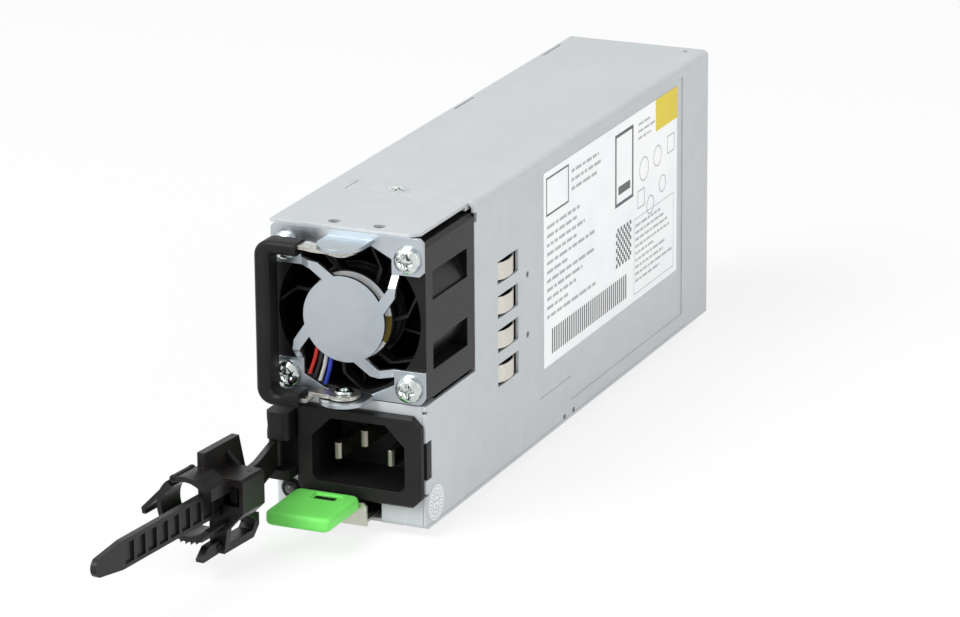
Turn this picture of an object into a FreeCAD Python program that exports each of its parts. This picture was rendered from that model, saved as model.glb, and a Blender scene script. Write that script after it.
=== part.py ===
import FreeCAD, Part
import math
import os
import Sketcher

# Hot swap server power supply, slim redundant form: a folded steel case 40 wide, 73.5 high and
# 185 deep, with a 40 mm fan and its guard at the front, a fold-out handle, a C14 inlet, a green
# release latch and a ladder strap with a cord clip.
#
# Frame: X to the right across the case, Y into the case from its front face, Z up.
# The origin is the middle of the front bottom edge of the case.

SIZES = {
    # folded steel case
    "case_width": 40.0,
    "case_height": 73.5,
    "case_length": 185.0,
    "sheet": 0.8,
    "bend_radius": 1.5,
    "seam_gap": 0.25,
    "fan_bay_depth": 29.7,
    "fan_bay_floor": 31.1,
    "fit_gap": 0.1,
    "seam_tab_right": 14.2,
    "seam_tab_depth": 7.0,
    "deck_side_inset": 1.6,
    "deck_corner": 2.2,
    "deck_tongue": 8.6,
    "deck_tongue_left": 12.0,
    "deck_hole_radius": 1.5,
    "deck_hole_spacing": 11.8,
    "deck_hole_middle": 1.1,
    "deck_hole_depth": 3.7,
    "wall_notch_height": 2.4,
    "wall_notch_top": 1.6,
    "wall_notch_depth": 1.4,
    "rear_step_length": 17.0,
    "edge_tab_inset": 1.2,
    "edge_tab_length": 12.0,
    "edge_tab_one": 111.5,
    "edge_tab_two_inset": 15.5,
    "floor_notch_width": 1.4,
    "floor_notch_height": 1.2,
    "floor_notch_one": 85.0,
    "floor_notch_two": 91.0,
    "relief_height": 0.7,
    "relief_depth": 1.3,
    "relief_low": 8.4,
    "relief_high": 29.2,
    "tooling_hole_radius": 0.8,
    "tooling_hole_depth": 61.6,
    "tooling_hole_low": 30.6,
    "tooling_hole_high": 46.3,
    "rear_hole_inset": 3.2,
    "rear_hole_side": 5.2,
    # labels and their shallow panel
    "panel_front": 69.0,
    "panel_rear_inset": 18.5,
    "panel_top_inset": 2.7,
    "panel_middle": 10.9,
    "panel_bottom": 4.6,
    "panel_step": 89.5,
    "panel_recess": 0.25,
    "label_thickness": 0.15,
    "label_margin_front": 3.2,
    "label_margin_rear": 3.9,
    "label_bottom": 18.2,
    "label_margin_top": 1.6,
    "caution_length": 15.2,
    "caution_height": 8.6,
    "seal_radius": 4.4,
    "seal_depth": 5.4,
    "seal_height": 5.4,
    # earthing springs behind four slots
    "slot_count": 4,
    "slot_front": 43.2,
    "slot_length": 12.6,
    "slot_height": 5.8,
    "slot_pitch": 8.8,
    "slot_low": 22.5,
    "spring_sheet": 0.3,
    "spring_height": 4.4,
    "spring_bow": 1.2,
    "spring_rail": 2.2,
    # cover screw
    "cover_screw_side": -1.9,
    "cover_screw_depth": 33.4,
    "cover_screw_head": 2.7,
    "cover_screw_shank": 1.3,
    "cover_screw_length": 4.5,
    # fan
    "fan_top_gap": 1.55,
    "fan_floor_gap": 0.25,
    "fan_depth": 28.0,
    "fan_screw_inset": 3.9,
    "fan_rim": 1.3,
    "fan_wall": 1.1,
    "fan_flange": 4.0,
    "fan_side_gap": 0.1,
    "fan_screw_hole": 1.65,
    "motor_base_radius": 11.3,
    "motor_base_front": 1.4,
    "motor_base_depth": 2.6,
    "vane_depth": 4.0,
    "vane_count": 7,
    "vane_width": 0.9,
    "vane_sweep": 5.5,
    "bearing_radius": 2.6,
    "bearing_length": 15.0,
    "shaft_radius": 1.0,
    "shaft_gap": 0.05,
    "stator_radius": 9.0,
    "stator_front": 9.4,
    "stator_depth": 6.0,
    "motor_board_radius": 9.8,
    "motor_board_depth": 1.0,
    "rotor_gap": 0.6,
    "magnet_thickness": 1.3,
    "magnet_depth": 12.0,
    "hub_radius": 12.0,
    "hub_wall": 1.0,
    "hub_front": 7.2,
    "hub_rear": 27.0,
    "blade_count": 5,
    "blade_tip_gap": 0.4,
    "blade_thickness": 1.1,
    "blade_root_twist": 34.0,
    "blade_tip_twist": 52.0,
    "blade_front": 7.6,
    "blade_rear": 26.4,
    "lead_forward": 0.45,
    "lead_pitch": 1.35,
    "lead_radius": 0.52,
    "lead_start_side": 8.0,
    "lead_start_drop": 7.4,
    "lead_end_side": 10.4,
    "lead_end_rise": 4.3,
    "lead_start_pitch": 1.15,
    "lead_start_step": 0.93,
    "lead_end_step": 0.7,
    # fan guard with its two pivot lugs
    "guard_sheet": 1.0,
    "guard_lift": 2.2,
    "guard_disc_radius": 10.65,
    "guard_arm_inset": 8.2,
    "guard_arm_width": 1.9,
    "guard_ear_height": 7.9,
    "guard_ramp_lead": 0.5,
    "guard_ramp_length": 2.6,
    "guard_frame_width": 1.2,
    "guard_window_half": 5.9,
    "guard_window_corner": 4.2,
    "guard_corner": 2.0,
    "guard_flange_left": 15.6,
    "guard_flange_right": 15.3,
    "guard_flange_depth": 6.0,
    "guard_screw_head": 3.5,
    "guard_screw_height": 2.1,
    "guard_screw_shank": 1.6,
    "guard_screw_length": 9.0,
    "cross_width": 1.0,
    "cross_length": 4.2,
    "cross_depth": 1.3,
    "lug_radius": 5.9,
    "lug_inset": 1.2,
    "lug_blind": 0.4,
    # handle
    "pivot_side": 0.8,
    "pivot_forward": 4.4,
    "pivot_radius": 1.5,
    "pivot_gap": 0.05,
    "pivot_head": 2.4,
    "pivot_head_height": 0.6,
    "pivot_dimple": 1.1,
    "tang_sheet": 0.9,
    "tang_radius": 4.0,
    "tang_gap": 0.3,
    "tang_width": 4.2,
    "tang_setback": 0.9,
    "tang_end_inset": 2.9,
    "tang_joggle_far": 3.7,
    "tang_joggle_near": 1.7,
    "tang_rise_top": 0.3,
    "tang_drop_bottom": 1.9,
    "grip_overhang": 0.5,
    "grip_bar": 3.8,
    "grip_reach": 11.1,
    "grip_top_inset": 0.65,
    "grip_heel_drop": 1.85,
    "grip_arm_top": 3.2,
    "grip_arm_bottom": 3.6,
    "grip_front": 8.5,
    "grip_back": 2.5,
    "grip_corner": 4.0,
    "grip_inner_corner": 1.3,
    "grip_edge": 0.7,
    "grip_heel": 3.0,
    "grip_heel_slope": 1.2,
    "grip_heel_step": 0.8,
    "grip_socket_gap": 0.05,
    # mains inlet
    "inlet_side": 3.1,
    "inlet_height": 17.2,
    "flange_half_width": 16.4,
    "flange_half_height": 11.4,
    "flange_depth": 2.0,
    "flange_corner": 2.4,
    "flange_bevel": 0.6,
    "inlet_body_half_width": 13.6,
    "inlet_body_half_height": 9.9,
    "inlet_body_depth": 22.0,
    "socket_half_width": 12.2,
    "socket_half_height": 8.2,
    "socket_rise": 0.5,
    "socket_depth": 16.5,
    "socket_chamfer": 5.0,
    "socket_corner": 2.0,
    "pin_spacing": 14.0,
    "pin_width": 2.0,
    "pin_height": 4.0,
    "pin_front": 1.0,
    "pin_rear": 28.0,
    "earth_rise": 4.0,
    "pin_drop": 0.6,
    "pin_gap": 0.05,
    "snap_length": 2.6,
    "snap_height": 9.2,
    "snap_gap": 0.2,
    "snap_root": 0.5,
    # indicator
    "indicator_inset": 1.5,
    "indicator_height": 6.0,
    "bezel_radius": 2.5,
    "bezel_barrel": 2.0,
    "bezel_proud": 1.2,
    "bezel_depth": 6.0,
    "lens_radius": 1.2,
    "indicator_gap": 0.05,
    # release latch: spring leaf over the floor, hook through the floor, green tab in front
    "leaf_sheet": 0.8,
    "leaf_lift": 0.3,
    "leaf_left": 11.0,
    "leaf_right": 5.9,
    "leaf_root": 48.0,
    "leaf_root_gap": 0.4,
    "leaf_shoulder": 5.0,
    "leaf_waist": 20.0,
    "leaf_plate_length": 13.0,
    "riser_front": 3.7,
    "riser_bottom": 0.3,
    "riser_top": 6.0,
    "tab_left": 12.8,
    "tab_right": 4.2,
    "tab_front": 21.5,
    "tab_rear": 2.9,
    "tab_bottom": 4.1,
    "tab_top": 7.7,
    "tab_corner": 2.0,
    "tab_edge": 0.8,
    "tab_core_inset": 2.0,
    "tab_core_length": 14.0,
    "tab_core_gap": 0.05,
    "thumb_front": 8.7,
    "thumb_rear": 4.9,
    "thumb_left": 7.6,
    "thumb_right": 0.2,
    "thumb_depth": 0.8,
    "thumb_slot_front": 8.4,
    "thumb_slot_rear": 7.2,
    "thumb_slot_inset": 1.1,
    "hook_front": 7.0,
    "hook_ramp": 4.2,
    "hook_flat": 1.0,
    "hook_length": 6.0,
    "hook_drop": 2.2,
    "hook_half_width": 4.0,
    "hook_middle": -3.0,
    "hook_gap": 1.2,
    "latch_window_left": 13.2,
    "latch_window_right": 8.2,
    "latch_window_top": 5.6,
    "rivet_shank": 1.0,
    "rivet_head": 1.9,
    "rivet_head_height": 0.8,
    "rivet_pitch": 5.5,
    "rivet_first": 4.0,
    # strap anchor and ladder strap
    "anchor_left": 19.8,
    "anchor_right": 13.7,
    "anchor_front": 5.7,
    "anchor_plate": 0.9,
    "anchor_top": 26.8,
    "anchor_bottom": 9.8,
    "anchor_corner": 1.6,
    "anchor_waist": 0.6,
    "anchor_waist_radius": 3.7,
    "strap_pin_stop": 2.0,
    "strap_height": 16.0,
    "strap_width": 7.0,
    "strap_thickness": 1.6,
    "strap_gap": 0.3,
    "strap_pin_side": 18.15,
    "strap_pin_forward": 3.2,
    "strap_pin_radius": 0.8,
    "strap_eye_radius": 1.7,
    "strap_root_angle": 10.9,
    "strap_tip_angle": 5.6,
    "strap_root_length": 15.5,
    "strap_bend_radius": 31.0,
    "strap_front_length": 63.5,
    "strap_tip_length": 11.0,
    "strap_tip_radius": 2.4,
    "rung_pitch": 4.7,
    "rung_count": 11,
    "rung_first": 1.0,
    "rung_pocket_length": 3.5,
    "rung_pocket_width": 5.0,
    "rung_pocket_depth": 0.6,
    # cord clip on the strap
    "clip_front": 11.2,
    "clip_depth": 9.5,
    "clip_left": 2.6,
    "clip_right": 6.9,
    "clip_top": 5.7,
    "clip_bottom": 5.2,
    "clip_shoulder": 2.7,
    "clip_toe": 4.4,
    "clip_edge": 0.6,
    "clip_channel": 1.1,
    "clip_window_right": 5.8,
    "clip_window_top": 3.7,
    "clip_window_bottom": 1.2,
    "clip_window_depth": 8.0,
    "loop_right": 1.4,
    "loop_bottom": 13.5,
    "loop_wall": 2.0,
    "loop_length": 15.5,
    "loop_web": 1.2,
    "thumb_plate": 2.0,
    "thumb_plate_front": 1.4,
    "thumb_plate_top": 11.3,
    "thumb_plate_rear": 13.8,
    "thumb_plate_heel": 16.8,
    "thumb_plate_foot": 1.0,
    "thumb_rib": 3.4,
    "thumb_rib_width": 1.4,
    "ring_side": 3.6,
    "ring_drop": 0.4,
    "ring_inner": 6.7,
    "ring_wall": 1.3,
    "ring_width": 8.5,
    "ring_hinge_angle": 115.0,
    "ring_ear": 1.0,
    "ring_ear_angle": 8.0,
    "ring_fixed_start": 42.0,
    "ring_fixed_end": 112.0,
    "ring_moving_start": 118.0,
    "ring_moving_end": 322.0,
    "saw_count": 6,
    "saw_start": 248.0,
    "saw_step": 10.0,
    "saw_height": 0.7,
    "flap_length": 10.6,
    "flap_wall": 1.2,
    "flap_start": 128.0,
    "pawl_thickness": 4.2,
    "pawl_tip": 1.1,
    "pawl_pivot_side": 4.6,
    "pawl_pivot_depth": 6.7,
    "clip_pin_radius": 0.45,
    "trigger_drop": 11.5,
    "trigger_reach": 7.9,
    "trigger_left": 1.6,
    "trigger_width": 2.0,
    "trigger_knuckle": 0.6,
    # main board behind the fan
    "board_standoff": 3.8,
    "board_sheet": 1.6,
    "board_front": 31.0,
    "board_low": 3.0,
    "board_headroom": 4.0,
    "board_gap": 0.5,
    "board_screw": 1.3,
    "post_radius": 2.6,
    "post_inset": 4.0,
    "post_front": 9.0,
    "post_rear": 16.4,
    "edge_low": 9.0,
    "edge_shoulder": 4.5,
    "edge_bevel": 1.0,
    "edge_reach": 9.5,
    "contact_sheet": 0.15,
    "contact_count": 12,
    "contact_pitch": 4.4,
    "contact_margin": 2.0,
    "contact_length": 7.5,
    "vent_columns": 3,
    "vent_rows": 8,
    "vent_left": -6.5,
    "vent_low": 12.0,
    "vent_pitch": 8.2,
    "vent_radius": 3.9,
    # large parts on the board
    "capacitor_radius": 9.5,
    "capacitor_length": 28.0,
    "capacitor_front": 82.0,
    "capacitor_pitch": 22.0,
    "capacitor_low": 20.0,
    "capacitor_rise": 26.0,
    "core_front": 122.0,
    "core_length": 28.0,
    "core_low": 30.0,
    "core_height": 32.0,
    "core_depth": 24.0,
    "core_leg": 4.5,
    "core_window": 5.5,
    "core_yoke": 7.0,
    "winding_gap": 0.3,
    "choke_depth": 52.0,
    "choke_drop": 19.5,
    "choke_radius": 12.0,
    "sink_low": 10.0,
    "sink_base": 2.5,
    "sink_fin": 15.0,
    "sink_reach": 26.0,
    "sink_front": 34.0,
    "sink_length": 30.0,
    "sink_margin": 2.0,
    "sink_blade": 1.6,
    "rectifier_sink_front": 120.0,
    "sink_rear_gap": 8.4,
}

doc = FreeCAD.newDocument("PowerSupply")
sheet = doc.addObject("Spreadsheet::Sheet", "Sizes")


class Size:
    """A number that remembers the sheet formula it comes from, so features can be bound to it."""

    def __init__(self, value, text):
        self.value = value
        self.text = text

    def __add__(self, other):
        other = size(other)
        return Size(self.value + other.value, f"({self.text} + {other.text})")

    def __radd__(self, other):
        return size(other) + self

    def __sub__(self, other):
        other = size(other)
        return Size(self.value - other.value, f"({self.text} - {other.text})")

    def __rsub__(self, other):
        return size(other) - self

    def __mul__(self, other):
        other = size(other)
        return Size(self.value * other.value, f"({self.text} * {other.text})")

    def __rmul__(self, other):
        return size(other) * self

    def __truediv__(self, other):
        other = size(other)
        return Size(self.value / other.value, f"({self.text} / {other.text})")

    def __neg__(self):
        return Size(-self.value, f"(0 - {self.text})")


def size(number):
    """Wrap a plain number as a Size and leave a Size as it is."""
    if isinstance(number, Size):
        return number
    return Size(float(number), f"({float(number)!r})")


def cosine(angle):
    angle = size(angle)
    return Size(math.cos(math.radians(angle.value)), f"cos({angle.text} * 1 deg)")


def sine(angle):
    angle = size(angle)
    return Size(math.sin(math.radians(angle.value)), f"sin({angle.text} * 1 deg)")


def smaller(one, other):
    """The smaller of two sizes, in the sheet as well."""
    return Size(min(one.value, other.value), f"min({one.text}; {other.text})")


def fill_sheet():
    """Write every driving dimension to the sheet under its own name."""
    for row, (name, value) in enumerate(SIZES.items(), start=1):
        sheet.set(f"A{row}", name)
        sheet.set(f"B{row}", str(value))
        sheet.setAlias(f"B{row}", name)
    doc.recompute()


class Dimensions:
    """Attribute access to the sheet: dims.case_width is a Size bound to that cell."""

    def __getattr__(self, name):
        return Size(float(sheet.get(name)), f"Sizes.{name}")


fill_sheet()
dims = Dimensions()

PLANES = {"X": "YZ_Plane", "Y": "XZ_Plane", "Z": "XY_Plane"}
AXES = {"X": "X_Axis", "Y": "Y_Axis", "Z": "Z_Axis"}
NORMALS = {"X": 1, "Y": -1, "Z": 1}


def polygon(*points):
    return ("polygon", [(size(a), size(b)) for a, b in points])


def rectangle(left, right, low, high):
    return polygon((left, low), (right, low), (right, high), (left, high))


def circle(across, up, radius):
    return ("circle", (size(across), size(up), size(radius)))


def polar(across, up, radius, angle):
    """A point at a radius and an angle in degrees from a centre."""
    return size(across) + radius * cosine(angle), size(up) + radius * sine(angle)


class Piece:
    """One rigid piece: a PartDesign body, built feature by feature in its own frame."""

    def __init__(self, name, at=(0, 0, 0), turn=0):
        self.body = doc.addObject("PartDesign::Body", name)
        self.body.Label = name
        self.place(at, turn)
        PIECES.append(self.body)

    def place(self, at, turn):
        turn = size(turn)
        rotation = FreeCAD.Rotation(FreeCAD.Vector(0, 0, 1), turn.value)
        base = FreeCAD.Vector(*(size(c).value for c in at))
        self.body.Placement = FreeCAD.Placement(base, rotation)
        for axis, coordinate in zip("xyz", at):
            self.body.setExpression(f".Placement.Base.{axis}", size(coordinate).text)
        self.body.setExpression(".Placement.Rotation.Angle", f"{turn.text} * 1 deg")

    def origin(self, role):
        return next(f for f in self.body.Origin.OriginFeatures if f.Role == role)

    def sketch(self, axis, at, outlines):
        """Draw closed outlines on the plane across an axis, every point bound to the sheet."""
        sketch = self.body.newObject("Sketcher::SketchObject", "Profile")
        sketch.AttachmentSupport = [(self.origin(PLANES[axis]), "")]
        sketch.MapMode = "FlatFace"
        sketch.setExpression(".AttachmentOffset.Base.z", (size(at) * NORMALS[axis]).text)
        geometry, constraints, formulas = [], [], []
        for kind, shape in outlines:
            if kind == "circle":
                self.draw_circle(geometry, constraints, formulas, *shape)
            else:
                self.draw_polygon(geometry, constraints, formulas, shape)
        sketch.addGeometry(geometry, False)
        sketch.addConstraint(constraints)
        for index, formula in formulas:
            sketch.setExpression(f"Constraints[{index}]", formula.text)
        return sketch

    @staticmethod
    def draw_circle(geometry, constraints, formulas, across, up, radius):
        edge = len(geometry)
        centre = FreeCAD.Vector(across.value, up.value, 0)
        geometry.append(Part.Circle(centre, FreeCAD.Vector(0, 0, 1), radius.value))
        for kind, formula in (("DistanceX", across), ("DistanceY", up)):
            formulas.append((len(constraints), formula))
            constraints.append(Sketcher.Constraint(kind, -1, 1, edge, 3, formula.value))
        formulas.append((len(constraints), radius))
        constraints.append(Sketcher.Constraint("Radius", edge, radius.value))

    @staticmethod
    def draw_polygon(geometry, constraints, formulas, points):
        corners = [FreeCAD.Vector(a.value, b.value, 0) for a, b in points]
        first = len(geometry)
        count = len(corners)
        for i, corner in enumerate(corners):
            following = (i + 1) % count
            geometry.append(Part.LineSegment(corner, corners[following]))
            constraints.append(Sketcher.Constraint("Coincident", first + i, 2, first + following, 1))
        for i, (across, up) in enumerate(points):
            for kind, formula in (("DistanceX", across), ("DistanceY", up)):
                formulas.append((len(constraints), formula))
                constraints.append(Sketcher.Constraint(kind, -1, 1, first + i, 1, formula.value))

    def pad(self, axis, start, end, *outlines):
        """Add material between two coordinates of an axis."""
        feature = self.body.newObject("PartDesign::Pad", "Pad")
        feature.Profile = self.sketch(axis, start, outlines)
        feature.setExpression("Length", (size(end) - start).text)
        feature.Reversed = NORMALS[axis] < 0
        self.body.Tip = feature
        doc.recompute()
        return feature

    def cut(self, axis, start, end, *outlines):
        """Remove material between two coordinates of an axis, and insist that some went."""
        before = self.body.Shape.Volume
        feature = self.body.newObject("PartDesign::Pocket", "Pocket")
        feature.Profile = self.sketch(axis, start, outlines)
        feature.setExpression("Length", (size(end) - start).text)
        feature.Reversed = NORMALS[axis] > 0
        self.body.Tip = feature
        doc.recompute()
        if self.body.Shape.Volume >= before - 1e-6:
            raise RuntimeError(f"{self.body.Label}: {feature.Name} removed nothing")
        return feature

    def edges(self, direction=None, **limits):
        """Names of the edges along an axis whose middle lies at the given coordinates."""
        found = []
        for number, edge in enumerate(self.body.Tip.Shape.Edges, start=1):
            middle = edge.BoundBox.Center
            lengths = {"X": edge.BoundBox.XLength, "Y": edge.BoundBox.YLength, "Z": edge.BoundBox.ZLength}
            if direction and lengths[direction] < 0.999 * edge.Length:
                continue
            if all(self.at_any(getattr(middle, key), values) for key, values in limits.items()):
                found.append(f"Edge{number}")
        if not found:
            raise RuntimeError(f"{self.body.Label}: no edge at {limits}")
        return found

    @staticmethod
    def at_any(coordinate, values):
        values = values if isinstance(values, (list, tuple)) else [values]
        return any(abs(coordinate - size(v).value) < 1e-3 for v in values)

    def fillet(self, radius, names):
        base = self.body.Tip
        feature = self.body.newObject("PartDesign::Fillet", "Fillet")
        feature.Base = (base, names)
        feature.setExpression("Radius", size(radius).text)
        self.body.Tip = feature
        doc.recompute()

    def chamfer(self, width, names):
        base = self.body.Tip
        feature = self.body.newObject("PartDesign::Chamfer", "Chamfer")
        feature.Base = (base, names)
        feature.setExpression("Size", size(width).text)
        self.body.Tip = feature
        doc.recompute()

    def around(self, axis, count, features):
        """Repeat features evenly about one of the body's own axes."""
        feature = self.body.newObject("PartDesign::PolarPattern", "Around")
        feature.Originals = features
        feature.Axis = (self.origin(AXES[axis]), [""])
        feature.Angle = 360
        feature.setExpression("Occurrences", size(count).text)
        self.body.Tip = feature
        doc.recompute()

    def loft(self, axis, stations):
        """Add material through outlines drawn at several coordinates of an axis."""
        sketches = [self.sketch(axis, at, [outline]) for at, outline in stations]
        feature = self.body.newObject("PartDesign::AdditiveLoft", "Loft")
        feature.Profile = sketches[0]
        feature.Sections = sketches[1:]
        feature.Ruled = True
        self.body.Tip = feature
        doc.recompute()
        return feature


PIECES = []

# Places that several pieces share.
half_width = dims.case_width / 2
inner_side = half_width - dims.sheet
wall_top = dims.case_height - dims.sheet
bay_rear = dims.fan_bay_depth
bay_floor = dims.fan_bay_floor
panel_top = dims.case_height - dims.panel_top_inset
panel_rear = dims.case_length - dims.panel_rear_inset
fan_front = dims.guard_sheet + dims.fit_gap
fan_rear = fan_front + dims.fan_depth
fan_side = half_width - dims.fan_side_gap
fan_rise = (wall_top - bay_floor - dims.fan_top_gap - dims.fan_floor_gap) / 2
fan_height = bay_floor + dims.fan_floor_gap + fan_rise
fan_bore = smaller(fan_side, fan_rise) - dims.fan_rim
fan_axis = (0, 0, fan_height)
screw_side = fan_side - dims.fan_screw_inset
screw_rise = fan_rise - dims.fan_screw_inset
lug_face = fan_rise - dims.lug_inset
CORNERS = [(screw_side * a, screw_rise * b) for a, b in ((1, 1), (1, -1), (-1, -1), (-1, 1))]
rivet_near = dims.leaf_root + dims.rivet_first
RIVETS = [(dims.hook_middle, rivet_near), (dims.hook_middle, rivet_near + dims.rivet_pitch)]
board_left = dims.board_standoff - inner_side
board_right = board_left + dims.board_sheet
board_high = dims.case_height - dims.board_headroom
board_rear = dims.case_length - dims.seam_tab_depth - dims.sheet * 2
edge_high = board_high - dims.edge_shoulder
POSTS = [(depth, height)
         for depth in (dims.board_front + dims.post_front, board_rear - dims.post_rear)
         for height in (dims.board_low + dims.post_inset, board_high - dims.post_inset)]
indicator_at = (dims.bezel_barrel + dims.indicator_inset - inner_side, dims.indicator_height)


def times(count):
    """A whole number of copies, read from the sheet."""
    return range(round(count.value))


def arc(across, up, radius, start, end, steps):
    """Points along an arc, both ends included."""
    start = size(start)
    span = size(end) - start
    return [polar(across, up, radius, start + span * i / steps) for i in range(steps + 1)]


def regular(across, up, radius, sides=12):
    """A regular outline with its corners on the radius: small pins, studs and wound parts."""
    return polygon(*[polar(across, up, radius, 360 / sides * (i + 0.5)) for i in range(sides)])


def clear_hole(across, up, radius, sides=12):
    """A regular outline that clears the radius all round: a hole that a head covers."""
    return regular(across, up, radius / math.cos(math.pi / sides), sides)


def turned(piece, axis_at, profile):
    """Revolve a profile of (depth, radius) points about a line along Y at (x, z)."""
    across, up = axis_at
    points = [(depth, size(up) + radius) for depth, radius in profile]
    sketch = piece.sketch("X", across, [polygon(*points)])
    low = min(size(depth).value for depth, _ in profile)
    high = max(size(depth).value for depth, _ in profile)
    line = Part.LineSegment(FreeCAD.Vector(low, size(up).value, 0), FreeCAD.Vector(high, size(up).value, 0))
    axis = sketch.addGeometry(line, True)
    sketch.addConstraint(Sketcher.Constraint("Horizontal", axis))
    height = sketch.addConstraint(Sketcher.Constraint("DistanceY", -1, 1, axis, 1, size(up).value))
    sketch.setExpression(f"Constraints[{height}]", size(up).text)
    feature = piece.body.newObject("PartDesign::Revolution", "Turned")
    feature.Profile = sketch
    feature.ReferenceAxis = (sketch, ["Axis0"])
    feature.Angle = 360
    piece.body.Tip = feature
    doc.recompute()
    return feature


def cross_outline(across, up, width, length):
    """The plus-shaped recess of a cross-head screw."""
    w = width / 2
    k = length / 2
    corners = [(-w, k), (-w, w), (-k, w), (-k, -w), (-w, -w), (-w, -k)]
    corners += [(w, -k), (w, -w), (k, -w), (k, w), (w, w), (w, k)]
    return polygon(*[(size(across) + a, size(up) + b) for a, b in corners])


def chassis_tray():
    """Floor, left wall and lower front wall, folded from one sheet."""
    tray = Piece("chassis_tray")
    length = dims.case_length
    step = length - dims.rear_step_length
    inner = inner_side - dims.fit_gap
    tray.pad("Z", 0, dims.sheet,
             polygon((-half_width, 0), (half_width, 0), (half_width, step), (inner, step),
                     (inner, length), (-half_width, length)))
    tops = []
    for middle in (length - dims.edge_tab_two_inset, dims.edge_tab_one):
        far = middle + dims.edge_tab_length / 2
        near = middle - dims.edge_tab_length / 2
        tops += [(far, wall_top), (far, dims.case_height), (near, dims.case_height), (near, wall_top)]
    tray.pad("X", -half_width, -inner_side,
             polygon((0, 0), (length, 0), (length, wall_top), *tops, (bay_rear, wall_top),
                     (bay_rear, bay_floor), (0, bay_floor)))
    tray.pad("Y", 0, dims.sheet, rectangle(-half_width, inner, 0, bay_floor))
    shelf = bay_floor - dims.sheet
    tray.pad("Z", shelf, bay_floor, rectangle(-half_width, inner, 0, dims.seam_tab_depth))
    inside = dims.bend_radius - dims.sheet
    tray.fillet(dims.bend_radius, tray.edges("Y", x=-half_width, z=0))
    tray.fillet(dims.bend_radius, tray.edges("X", y=0, z=0))
    tray.fillet(inside, tray.edges("X", y=dims.sheet, z=dims.sheet))
    tray.fillet(inside, tray.edges("X", y=dims.sheet, z=shelf))
    across = dims.inlet_body_half_width + dims.snap_gap
    tall = dims.inlet_body_half_height + dims.snap_gap
    tray.cut("Y", 0, dims.sheet,
             rectangle(dims.inlet_side - across, dims.inlet_side + across,
                       dims.inlet_height - tall, dims.inlet_height + tall),
             clear_hole(*indicator_at, dims.bezel_barrel + dims.indicator_gap, 16))
    tray.cut("Y", 0, dims.bend_radius,
             rectangle(-dims.latch_window_left, dims.latch_window_right, -dims.fit_gap,
                       dims.latch_window_top))
    hook_reach = dims.hook_half_width + dims.hook_gap
    tray.cut("Z", 0, dims.sheet,
             rectangle(dims.hook_middle - hook_reach, dims.hook_middle + hook_reach,
                       dims.hook_front - dims.hook_gap,
                       dims.hook_front + dims.hook_length + dims.hook_gap),
             *[clear_hole(side, depth, dims.rivet_shank + dims.pin_gap) for side, depth in RIVETS])
    return tray


def case_cover():
    """Lid and right wall, folded from one sheet, with the slots for the earthing springs."""
    cover = Piece("case_cover")
    length = dims.case_length
    seam = bay_rear - dims.seam_gap
    left_seam = bay_rear + dims.seam_tab_depth + dims.seam_gap
    seam_step = dims.seam_gap - dims.seam_tab_right
    cover.pad("Z", wall_top, dims.case_height,
              polygon((-half_width, left_seam), (seam_step, left_seam), (seam_step, seam),
                      (half_width, seam), (half_width, length), (-half_width, length)))
    lower = dims.sheet + dims.fit_gap
    step = length - dims.rear_step_length + dims.fit_gap
    notches = []
    for middle in (dims.floor_notch_one, dims.floor_notch_two):
        near = middle - dims.floor_notch_width / 2
        far = middle + dims.floor_notch_width / 2
        high = lower + dims.floor_notch_height
        notches += [(near, lower), (near, high), (far, high), (far, lower)]
    snap_low = dims.inlet_height - dims.snap_height / 2 - dims.snap_gap
    snap_high = dims.inlet_height + dims.snap_height / 2 + dims.snap_gap
    snap_back = dims.sheet + dims.snap_length
    cover.pad("X", inner_side, half_width,
              polygon((0, lower), *notches, (step, lower), (step, 0), (length, 0),
                      (length, dims.case_height), (seam, dims.case_height), (seam, bay_floor),
                      (0, bay_floor), (0, snap_high), (snap_back, snap_high),
                      (snap_back, snap_low), (0, snap_low)))
    cover.fillet(dims.bend_radius, cover.edges("Y", x=half_width, z=dims.case_height))
    cover.fillet(dims.bend_radius - dims.sheet, cover.edges("Y", x=inner_side, z=wall_top))
    relief_top = wall_top - dims.fit_gap - dims.wall_notch_top
    cover.cut("X", inner_side - dims.bend_radius, half_width,
              rectangle(seam, seam + dims.wall_notch_depth, relief_top - dims.wall_notch_height,
                        relief_top))
    slots = []
    for index in times(dims.slot_count):
        low = dims.slot_low + dims.slot_pitch * index
        slots.append(rectangle(dims.slot_front, dims.slot_front + dims.slot_length, low,
                               low + dims.slot_height))
    holes = [clear_hole(dims.tooling_hole_depth, height, dims.tooling_hole_radius)
             for height in (dims.tooling_hole_low, dims.tooling_hole_high)]
    ticks = [rectangle(0, dims.relief_depth, height, height + dims.relief_height)
             for height in (dims.relief_low, dims.relief_high)]
    cover.cut("X", inner_side, half_width, *slots, *holes, *ticks)
    cover.cut("X", half_width - dims.panel_recess, half_width,
              polygon((dims.panel_front, dims.panel_middle), (dims.panel_step, dims.panel_middle),
                      (dims.panel_step, dims.panel_bottom), (panel_rear, dims.panel_bottom),
                      (panel_rear, panel_top), (dims.panel_front, panel_top)))
    tab_gap = dims.edge_tab_length / 2 + dims.fit_gap
    cover.cut("Z", wall_top, dims.case_height,
              circle(dims.cover_screw_side, dims.cover_screw_depth,
                     dims.cover_screw_head + dims.pin_gap),
              clear_hole(half_width - dims.rear_hole_side, length - dims.rear_hole_inset,
                         dims.tooling_hole_radius),
              *[rectangle(-half_width, dims.edge_tab_inset - half_width, middle - tab_gap,
                          middle + tab_gap)
                for middle in (dims.edge_tab_one, length - dims.edge_tab_two_inset)])
    return cover


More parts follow.
